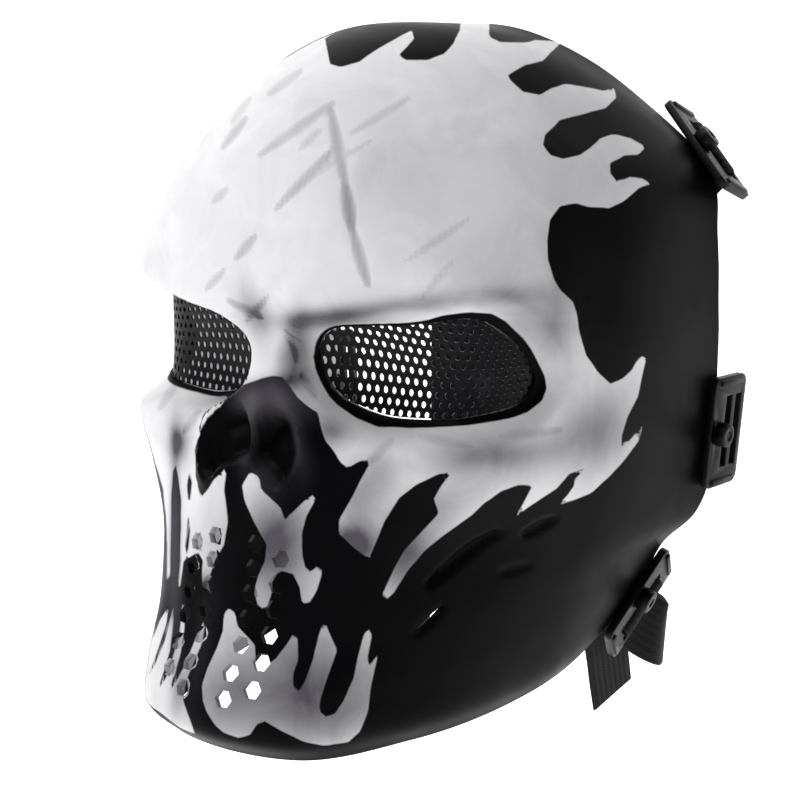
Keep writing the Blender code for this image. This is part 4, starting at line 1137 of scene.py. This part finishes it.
def buckle_plate(name, made):
    """A moulded buckle: a rounded plate with a raised rib at each end, slots and a rivet hole."""
    low = plate_base(made)
    middle = Matrix.Translation(((PLATE_REAR - PLATE_FRONT) / 2, 0, low + PLATE_THICKNESS / 2))
    build = bmesh.new()
    bmesh.ops.create_cube(build, size=1)
    size = Matrix.Diagonal((PLATE_FRONT + PLATE_REAR, PLATE_LENGTH, PLATE_THICKNESS, 1))
    bmesh.ops.transform(build, matrix=middle @ size, verts=build.verts)
    upright = [e for e in build.edges if abs(e.verts[0].co.z - e.verts[1].co.z) > PLATE_THICKNESS / 2]
    bmesh.ops.bevel(build, geom=upright, offset=PLATE_ROUNDING, segments=CORNER_STEPS, profile=0.5,
                    affect="EDGES")
    plate = bench(name, [finished(build, name)])
    ribs = []
    span = PLATE_FRONT + PLATE_REAR - 2 * PLATE_ROUNDING
    for way in (-1, 1):
        spot = Matrix.Translation(((PLATE_REAR - PLATE_FRONT) / 2, way * (PLATE_LENGTH / 2 - RIB_WIDTH),
                                   low + PLATE_THICKNESS + RIB_RISE / 2 - PLATE_EDGE / 2))
        ribs.append(box("rib", (span, RIB_WIDTH, RIB_RISE + PLATE_EDGE), spot))
    ribs = bench("ribs", ribs)
    slots = []
    slot_size = (STRAP_SLOT, bpy.context.scene.mask_straps.width + 2 * SLOT_ROOM, 3 * PLATE_THICKNESS)
    for way in (-1, 1):
        spot = Matrix.Translation((way * (MIDDLE_BAR + STRAP_SLOT) / 2, 0, low + PLATE_THICKNESS / 2))
        slots.append(box("slot", slot_size, spot))
    radius = RIVET_SHAFT / 2 + CLEARANCE
    slots.append(prism("shaft", (-RIVET_INSET, 0, 0), (0, 0, 1), (1, 0, 0), radius, radius, RIVET_STEPS,
                       HOLE_CUT_DEPTH))
    slots = bench("slots", slots)
    cut(plate, ribs, "UNION")
    cut(plate, slots)
    soften = plate.modifiers.new("edges", "BEVEL")
    soften.width = PLATE_EDGE
    soften.segments = 2
    soften.angle_limit = math.radians(50)
    mesh = taken(plate, ribs, slots)
    mesh.transform(made)
    return mesh


def rivet(name, made):
    """A rivet with a chamfered knob of a head and a dimple, through plate and shell."""
    top = plate_base(made) + PLATE_THICKNESS + CLEARANCE
    reach = RIVET_TAIL / 2
    face_low, _ = face_under(made, -RIVET_INSET - reach, -RIVET_INSET + reach, reach)
    under = face_low - WALL - CLEARANCE - FACET_ROOM
    head, shaft = RIVET_HEAD / 2, RIVET_SHAFT / 2
    crown = top + RIVET_RISE
    profile = [(0, crown - 0.5 * MM), (head * 0.35, crown - 0.5 * MM), (head * 0.45, crown - 0.1 * MM),
               (head * 0.5, crown), (head - 0.8 * MM, crown), (head - 0.2 * MM, crown - 0.3 * MM),
               (head, crown - 0.9 * MM), (head, top + 0.4 * MM), (head - 0.3 * MM, top), (shaft, top),
               (shaft, under), (reach, under), (reach, under - RIVET_TAIL_THICKNESS * 0.7),
               (reach * 0.8, under - RIVET_TAIL_THICKNESS), (0, under - RIVET_TAIL_THICKNESS)]
    mesh = bpy.data.meshes.new(name)
    mesh.from_pydata([(x, 0, z) for x, z in profile], [(i, i + 1) for i in range(len(profile) - 1)], [])
    thing = bench(name, [mesh])
    turn = thing.modifiers.new("turn", "SCREW")
    turn.steps = RIVET_STEPS
    turn.render_steps = RIVET_STEPS
    turn.use_merge_vertices = True
    turn.merge_threshold = 0.02 * MM
    solid = taken(thing)
    solid.transform(made @ Matrix.Translation((-RIVET_INSET, 0, 0)))
    return solid


def threaded_stations(made, run, thickness):
    """The webbing's way through a buckle, from the front slot over the middle bar and out to the rear."""
    low = plate_base(made)
    middle, top = low + PLATE_THICKNESS / 2, low + PLATE_THICKNESS
    slot = (MIDDLE_BAR + STRAP_SLOT) / 2
    half = thickness / 2
    over = top + CLEARANCE + half
    under = low - CLEARANCE - half
    local = [(-slot + CLEARANCE, under - half), (-slot + CLEARANCE, middle), (-slot * 0.75, over - half),
             (0.0, over + CLEARANCE), (slot * 0.75, over - half), (slot, middle),
             (slot + half, under - half)]
    if run:
        local.insert(0, (-slot + thickness, under - 4 * thickness))
        local += [(PLATE_REAR, under - thickness), (PLATE_REAR + run / 2, under - half)]
    else:
        local += [(slot + thickness, under - 2 * thickness)]
    wide = np.array(made.col[1].to_3d())
    return [(np.array(made @ Vector((x, 0, z))), wide) for x, z in local]


def pad_point(angle, up, out):
    """Point of the pad's curve: angle round from the middle, height and distance outside its inner face."""
    radius = PAD_RADIUS + out
    return np.array([radius * math.sin(angle), PAD_BACK - PAD_RADIUS + radius * math.cos(angle), up])


def pad_stations(width, thickness):
    """The last stations of an upper strap, along the pad's outer face to its sewn tip."""
    half = PAD_WIDTH / 2 / PAD_RADIUS
    radius = PAD_RADIUS + PAD_SOLID
    out = PAD_SOLID + 2 * CLEARANCE + thickness / 2
    slope = math.radians(PAD_END.slope)
    stations = []
    for runs in PAD_END.runs:
        run = runs * width / 2
        angle = PAD_END.angle_share * half + run * math.cos(slope) / radius
        up = PAD_MIDDLE + PAD_END.up_share * PAD_HEIGHT / 2 + run * math.sin(slope)
        tangent = np.array([math.cos(angle), -math.sin(angle), 0.0])
        wide = -tangent * math.sin(slope) + np.array([0.0, 0.0, math.cos(slope)])
        stations.append((pad_point(angle, up, out), wide))
    return stations


def route_stations(routes):
    """Stations of a strap on the wearer's left, given as shares of the face's sizes."""
    return [(np.array([r.across * WIDTH / 2, r.back * DEPTH, r.up * HEIGHT]),
             np.array([r.wide_across, r.wide_back, r.wide_up])) for r in routes]


def other_side(stations):
    """The same stations on the wearer's right."""
    return [(point * FLIP, wide * FLIP) for point, wide in stations]


def webbing(name, stations, width, thickness):
    """A woven ribbon with rounded edges along a smooth path, with its length and width as a map."""
    points, wides = [np.array(list(column), float) for column in zip(*stations)]
    for i in range(1, len(wides)):
        if wides[i] @ wides[i - 1] < 0:
            wides[i] = -wides[i]
    way = np.concatenate([[0], np.cumsum(np.linalg.norm(np.diff(points, axis=0), axis=1))])
    at = np.unique(np.concatenate([np.linspace(a, b, max(2, round((b - a) / WEBBING_STEP)))
                                   for a, b in zip(way, way[1:])]).round(7))
    centre, wide = smooth(way, points, at), smooth(way, wides, at)
    forward = np.gradient(centre, at, axis=0)
    across, bulge = np.array(SECTION_ACROSS), np.array(SECTION_BULGE)
    shares = np.concatenate([across, across[::-1]])
    sides = np.concatenate([bulge, -bulge[::-1]])
    rings = []
    for c, w, f in zip(centre, wide, forward):
        f = f / np.linalg.norm(f)
        w = w - f * (w @ f)
        w = w / np.linalg.norm(w)
        n = np.cross(f, w)
        n = n / np.linalg.norm(n) * thickness / 2
        rings.append(c + np.outer(shares, w * width / 2) + np.outer(sides, n))
    count = len(shares)
    rings = np.array(rings)
    index = np.arange(len(at) * count).reshape(len(at), count)
    after = np.roll(index, -1, axis=1)
    faces = np.stack([index[:-1], after[:-1], after[1:], index[1:]], -1).reshape(-1, 4).tolist()
    for ring in (index[0], index[-1]):
        faces += [[ring[i], ring[i + 1], ring[count - i - 2], ring[count - i - 1]]
                  for i in range(count // 2 - 1)]
    mesh = bpy.data.meshes.new(name)
    mesh.from_pydata(rings.reshape(-1, 3).tolist(), [], faces)
    steps = np.linalg.norm(np.diff(centre, axis=0), axis=1)
    length = np.repeat(np.concatenate([[0], np.cumsum(steps)]), count)
    mapped(mesh, np.stack([length, np.tile(shares * width / 2, len(at))], -1))
    outward(mesh)
    return mesh


def paint_values(mesh):
    """Works out the paint of the shell at each of its points and keeps it on the mesh."""
    count = len(mesh.vertices)
    points, normals = np.empty(count * 3), np.empty(count * 3)
    mesh.vertices.foreach_get("co", points)
    mesh.vertex_normals.foreach_get("vector", normals)
    points, normals = points.reshape(-1, 3), normals.reshape(-1, 3)
    corners, map_values = np.empty(len(mesh.loops), int), np.empty(len(mesh.loops) * 2)
    mesh.loops.foreach_get("vertex_index", corners)
    mesh.uv_layers["unrolled"].data.foreach_get("uv", map_values)
    map_values = map_values.reshape(-1, 2)
    known = np.abs(map_values).sum(1) > 0
    uv = np.zeros((count, 2))
    uv[corners[known]] = map_values[known]
    white = seen(points, normals, lambda p: np.max([distance_inside(p, f) for f in FLAMES], axis=0))
    slits = seen(points, normals, lambda p: np.max([distance_inside(p, f) for f in SLITS], axis=0))
    paint = np.minimum(white, -slits) / PIXELS_PER_METRE
    left = uv[:, 0] > 0
    place = np.abs(uv * (1, 0)) + uv * (0, 1)
    border = distance_inside(place, eye_outline(EYE_POINTS, EYE_PAINT))
    painted = distance_inside(in_frame(points[left]), EYE_BORDER) / PIXELS_PER_METRE
    border[left] = np.maximum(border[left], painted)
    nose = distance_inside(place, nostril_outline(EYE_POINTS))
    paint = np.minimum(paint, -np.maximum(border, nose + NOSTRIL_PAINT))
    # Grey over the white from the airbrushed patches and the painted shade
    shade = seen(points, normals, lambda p: sum(in_shade(p, s) for s in AIRBRUSH_AND_PAINTED_SHADES))
    stroke = seen(points, normals, strokes)
    haze = seen(points, normals, lambda p: sum(in_shade(p, s) for s in HAZES))
    haze = haze * step_up(1 - np.maximum(border, nose) / NOSTRIL_PAINT)
    for name, values in (("paint", paint), ("shade", np.clip(shade, 0, 1)), ("stroke", stroke),
                         ("haze", np.clip(haze, 0, 1))):
        made = mesh.attributes.new(name, "FLOAT", "POINT")
        made.data.foreach_set("value", values.astype(np.float32))


class MASK_OT_shell(bpy.types.Operator):
    """Makes the moulded and painted shell with its openings"""
    bl_idname = "mask.make_shell"
    bl_label = "Shell"

    def execute(self, context):
        grid, places = shaped_face()
        shell = bench("shell_bench", [sheet("shell_bench", grid, places)])
        wall = shell.modifiers.new("wall", "SOLIDIFY")
        wall.thickness = WALL
        wall.offset = -1
        cutters = [eye_plug(side, 0.0) for side in SIDES] + breathing_cutters()
        radius = RIVET_SHAFT / 2 + CLEARANCE
        cutters += [prism("shaft", *rivet_axis(made), (0, 0, 1), radius, radius, RIVET_STEPS,
                          HOLE_CUT_DEPTH) for made in FIXING_FRAMES.values()]
        openings = bench("openings", cutters)
        cut(shell, openings)
        mesh = taken(shell, openings)
        if len(mesh.polygons) < grid.shape[0] * grid.shape[1]:
            raise RuntimeError("the shell lost its faces when its openings were cut")
        paint_values(mesh)
        placed("painted_shell", mesh, ["shell"],
               [sprayed_shell(context.scene.mask_paint)], crease=50.0)
        return {"FINISHED"}


def screen_floor():
    """The eye socket's sunk floor as rows of points with the length along each."""
    us = np.linspace(-1, 1, SCREEN_FLOOR_COLUMNS) * (EYE_WIDTH / 2 + SCREEN_REACH) + EYE_MIDDLE_U
    vs = np.linspace(1, -1, SCREEN_FLOOR_ROWS) * (EYE_HEIGHT / 2 + SCREEN_REACH) + EYE_MIDDLE_V
    base = base_grid(us, vs)
    floor = base - grid_normals(base) * (socket_depth(us) + SCREEN_SINK)[None, :, None]
    steps = np.linalg.norm(np.diff(floor, axis=1), axis=-1)
    way = np.concatenate([np.zeros((len(vs), 1)), np.cumsum(steps, axis=1)], 1)
    return floor, way, vs


def on_floor(floor, way, vs, s, t):
    """Point of the screen's floor at a length along its row from the row's middle, at a height."""
    row = np.interp(-t, -vs, np.arange(len(vs)))
    low = min(int(row), len(vs) - 2)
    points = [along(floor[i], way[i], s + way[i, -1] / 2) for i in (low, low + 1)]
    return points[0] + (points[1] - points[0]) * (row - low)


def perforated(name, pitch, hole):
    """A staggered lattice of hexagonal cells, each with a round hole, laid on the sunk floor."""
    floor, way, vs = screen_floor()
    row_step = pitch * math.sqrt(3) / 2
    rows = int((EYE_HEIGHT / 2 + SCREEN_REACH) / row_step) - 1
    columns = int((EYE_WIDTH / 2 + SCREEN_REACH) / pitch) + 1
    turns = [a * 2 * math.pi / SCREEN_HOLE_SIDES for a in range(SCREEN_HOLE_SIDES)]
    corners = [(math.sin(turn), math.cos(turn)) for turn in turns]
    outline = 1 / math.sqrt(3)
    build = bmesh.new()
    for i in range(-rows, rows + 1):
        for j in range(-columns, columns + 1):
            s, t = (j + 0.5 * (i % 2)) * pitch, EYE_MIDDLE_V + i * row_step
            if abs(s) > EYE_WIDTH / 2 + SCREEN_REACH - pitch:
                continue
            rim, ring = [], []
            for k, (x, y) in enumerate(corners):
                out = outline * pitch * (1.0 if k % 2 == 0 else math.sqrt(3) / 2)
                rim.append(build.verts.new(on_floor(floor, way, vs, s + x * out, t + y * out)))
                ring.append(build.verts.new(on_floor(floor, way, vs, s + x * hole / 2, t + y * hole / 2)))
            for k in range(SCREEN_HOLE_SIDES):
                n = (k + 1) % SCREEN_HOLE_SIDES
                build.faces.new((rim[k], ring[k], ring[n], rim[n]))
    bmesh.ops.remove_doubles(build, verts=build.verts, dist=0.02 * MM)
    mesh = bpy.data.meshes.new(name)
    build.to_mesh(mesh)
    build.free()
    return mesh


class MASK_OT_screens(bpy.types.Operator):
    """Makes the two perforated steel eye screens"""
    bl_idname = "mask.make_screens"
    bl_label = "Eye screens"

    def execute(self, context):
        sizes = context.scene.mask_screens
        steel = coated_steel(sizes)
        for side, word in SIDES.items():
            thing = bench("screen_bench", [perforated("screen_bench", sizes.pitch, sizes.hole)])
            if side < 0:
                thing.data.transform(Matrix.Diagonal((-1, 1, 1, 1)))
                thing.data.flip_normals()
            wall = thing.modifiers.new("sheet", "SOLIDIFY")
            wall.thickness = sizes.thickness
            wall.offset = -1
            plug = bench("screen_outline", [eye_plug(side, -CLEARANCE)])
            cut(thing, plug, "INTERSECT")
            mesh = taken(thing, plug)
            if not mesh.polygons:
                raise RuntimeError("the eye screen came out empty")
            placed("screen_" + word, mesh, ["eye_screen_" + word], [steel])
        return {"FINISHED"}


class MASK_OT_fittings(bpy.types.Operator):
    """Makes the six buckles and their rivets"""
    bl_idname = "mask.make_fittings"
    bl_label = "Buckles and rivets"

    def execute(self, context):
        nylon = moulded_nylon(context.scene.mask_straps.fitting)
        for (place, side), made in FIXING_FRAMES.items():
            end = place + "_" + SIDES[side]
            placed("plate_" + end, buckle_plate("plate_" + end, made), ["buckle_" + end],
                   [nylon])
            placed("knob_" + end, rivet("knob_" + end, made), ["rivet_" + end], [nylon])
        return {"FINISHED"}


class MASK_OT_straps(bpy.types.Operator):
    """Makes the woven straps"""
    bl_idname = "mask.make_straps"
    bl_label = "Straps"

    def execute(self, context):
        sizes = context.scene.mask_straps
        width, thickness = sizes.width, sizes.thickness
        woven = woven_polypropylene(sizes.webbing)
        upper = threaded_stations(FIXING_FRAMES["upper", 1], 0.0, thickness)
        upper += pad_stations(width, thickness)
        for side, word in SIDES.items():
            laid = upper if side > 0 else other_side(upper)
            name = "webbing_upper_" + word
            placed(name, webbing(name, laid, width, thickness), ["strap_upper_" + word],
                   [woven], crease=60.0)
        left = route_stations(STRAP_TAIL) + threaded_stations(FIXING_FRAMES["lower", 1], NECK_RUN, thickness)
        left += route_stations(NECK_ROUTE)
        right = other_side(left[:-1])[::-1]
        placed("webbing_neck", webbing("webbing_neck", left + right, width, thickness), ["strap_neck"],
               [woven], crease=60.0)
        return {"FINISHED"}


class MASK_OT_pad(bpy.types.Operator):
    """Makes the quilted pad behind the head"""
    bl_idname = "mask.make_pad"
    bl_label = "Back pad"

    def execute(self, context):
        sizes = context.scene.mask_straps
        rows, columns = PAD_ROWS, PAD_COLUMNS
        half = PAD_WIDTH / 2 / PAD_RADIUS
        a, b = np.meshgrid(np.linspace(-1, 1, columns), np.linspace(1, -1, rows))
        shrink = np.maximum(np.abs(a) - (1 - PAD_CORNER), 0) / PAD_CORNER
        tuck = 1 - PAD_CORNER * (1 - np.sqrt(np.clip(1 - shrink ** 2, 0, 1))) * PAD_TUCK
        up = PAD_MIDDLE + b * tuck * PAD_HEIGHT / 2
        edge = np.clip(np.minimum((1 - np.abs(a)) * PAD_WIDTH, (1 - np.abs(b)) * PAD_HEIGHT) / 2, 0, 1)
        crown = np.sqrt(np.clip(edge / PAD_CROWN, 0, 1))
        seams = np.abs(np.sin(math.pi * sizes.quilt_rows * (b + 1) / 2))
        swell = np.clip(seams, 0, SWELL_REACH) ** 0.5 * crown
        middle = PAD_SOLID / 2
        sheets = []
        for way in (1, -1):
            out = middle + way * (PAD_EDGE + (middle - PAD_EDGE) * crown)
            if way < 0:
                out = out - sizes.pad_swell * SWELL_SHARE * (swell - 0.3 * crown)
            else:
                out = out - SEAM_PRESS * (1 - seams.clip(0, SEAM_REACH) / SEAM_REACH) * crown
            sheets.append(np.array([[pad_point(half * x, z, o) for x, z, o in zip(*line)]
                                    for line in zip(a, up, out)]))
        index = np.arange(rows * columns).reshape(rows, columns)
        front = np.stack([index[:-1, :-1], index[:-1, 1:], index[1:, 1:], index[1:, :-1]], -1)
        back = front[..., ::-1] + rows * columns
        loop = np.concatenate([index[0, :-1], index[:-1, -1], index[-1, :0:-1], index[:0:-1, 0]])
        after = np.roll(loop, -1)
        skirt = np.stack([loop, loop + rows * columns, after + rows * columns, after], -1)
        faces = front.reshape(-1, 4).tolist() + back.reshape(-1, 4).tolist() + skirt.tolist()
        mesh = bpy.data.meshes.new("pad")
        mesh.from_pydata(np.concatenate(sheets).reshape(-1, 3).tolist(), [], faces)
        places = np.stack([a * PAD_WIDTH / 2, up], -1).reshape(-1, 2)
        mapped(mesh, np.concatenate([places, places]))
        outward(mesh)
        pad = placed("quilted_pad", mesh, ["back_pad"], [brushed_polyester(sizes.fabric)],
                     crease=70.0)
        return {"FINISHED"}


class MASK_OT_stage(bpy.types.Operator):
    """Makes the pale floor with its backdrop, the soft lights and the camera"""
    bl_idname = "mask.make_stage"
    bl_label = "Stage"

    def execute(self, context):
        sizes = context.scene.mask_stage
        level = SOLID_BOX[0][2] - sizes.drop
        reach, bend = COVE_REACH, COVE_BEND
        right, up, back = camera_axes()
        away = np.array([-back[0], -back[1], 0.0])
        away = away / np.linalg.norm(away)
        profile = [(-reach, 0.0)]
        profile += [(reach - bend + bend * math.sin(a), bend - bend * math.cos(a))
                    for a in np.linspace(0, math.pi / 2, COVE_STEPS)]
        profile += [(reach, 2 * reach)]
        grid = np.array([[away * x + right * y + (0, 0, level + z) for y in (-2 * reach, 2 * reach)]
                         for x, z in profile])
        cove = bpy.data.objects.new("cove", sheet("cove", grid))
        cove.data.shade_smooth()
        made, tree, shader = new_material("matt_white_cove")
        place = add(tree, "TexCoord").outputs["Object"]
        cloud = add(tree, "TexNoise", {"Vector": place, "Scale": 6.0}).outputs["Fac"]
        rough = add(tree, "MapRange", {"Value": cloud, "To Min": 0.85, "To Max": 0.95}).outputs[0]
        set_shader(tree, shader, {"Base Color": (*sizes.floor, 1), "Roughness": rough,
                                  "Emission Color": (*sizes.floor, 1), "Emission Strength": sizes.glow})
        cove.data.materials.append(made)
        context.scene.collection.objects.link(cove)
        target = -Vector(SEAT)
        for made in LAMPS:
            lamp = bpy.data.lights.new(made.name, "AREA")
            lamp.shape = "DISK"
            lamp.size = made.size
            lamp.energy = sizes.key * made.share
            thing = bpy.data.objects.new(made.name, lamp)
            t, r = math.radians(CAMERA_AZIMUTH + made.turn), math.radians(made.rise)
            way = Vector((math.sin(t) * math.cos(r), -math.cos(t) * math.cos(r), math.sin(r)))
            thing.location = target + way * made.far
            thing.rotation_euler = way.to_track_quat("Z", "Y").to_euler()
            context.scene.collection.objects.link(thing)
        world = bpy.data.worlds.new("soft_sky")
        world.use_nodes = True
        light = world.node_tree.nodes["Background"].inputs
        light["Color"].default_value = (1, 1, 1, 1)
        light["Strength"].default_value = sizes.sky
        context.scene.world = world
        lens = bpy.data.cameras.new("camera")
        lens.sensor_width = SENSOR
        lens.lens = CAMERA_FOCAL * SENSOR / FRAME_PIXELS
        camera = bpy.data.objects.new("camera", lens)
        axes = Matrix([Vector(v) for v in (right, up, back)]).transposed().to_4x4()
        axes.translation = target + Vector(back) * CAMERA_DISTANCE
        camera.matrix_world = axes
        context.scene.collection.objects.link(camera)
        context.scene.camera = camera
        context.scene.view_settings.view_transform = "Standard"
        return {"FINISHED"}


OPERATORS = (MASK_OT_stage, MASK_OT_shell, MASK_OT_screens, MASK_OT_fittings, MASK_OT_straps, MASK_OT_pad)


class MASK_PT_panel(bpy.types.Panel):
    """Lists the mask's pieces and their settings"""
    bl_label = "Skull mask"
    bl_space_type = "VIEW_3D"
    bl_region_type = "UI"
    bl_category = "Skull Mask"

    def draw(self, context):
        for operator in OPERATORS:
            self.layout.operator(operator.bl_idname)
        for name, group in GROUPS.items():
            column = self.layout.column(align=True)
            for key in group.__annotations__:
                column.prop(getattr(context.scene, name), key)


def register():
    """Registers the settings, the operators and the panel."""
    for name, group in GROUPS.items():
        bpy.utils.register_class(group)
        setattr(bpy.types.Scene, name, PointerProperty(type=group))
    for operator in OPERATORS:
        bpy.utils.register_class(operator)
    bpy.utils.register_class(MASK_PT_panel)


def unregister():
    """Takes them out again."""
    bpy.utils.unregister_class(MASK_PT_panel)
    for operator in reversed(OPERATORS):
        bpy.utils.unregister_class(operator)
    for name, group in reversed(GROUPS.items()):
        delattr(bpy.types.Scene, name)
        bpy.utils.unregister_class(group)


def main():
    """Makes every piece."""
    register()
    for operator in OPERATORS:
        category, name = operator.bl_idname.split(".")
        getattr(getattr(bpy.ops, category), name)()


if __name__ == "__main__":
    main()
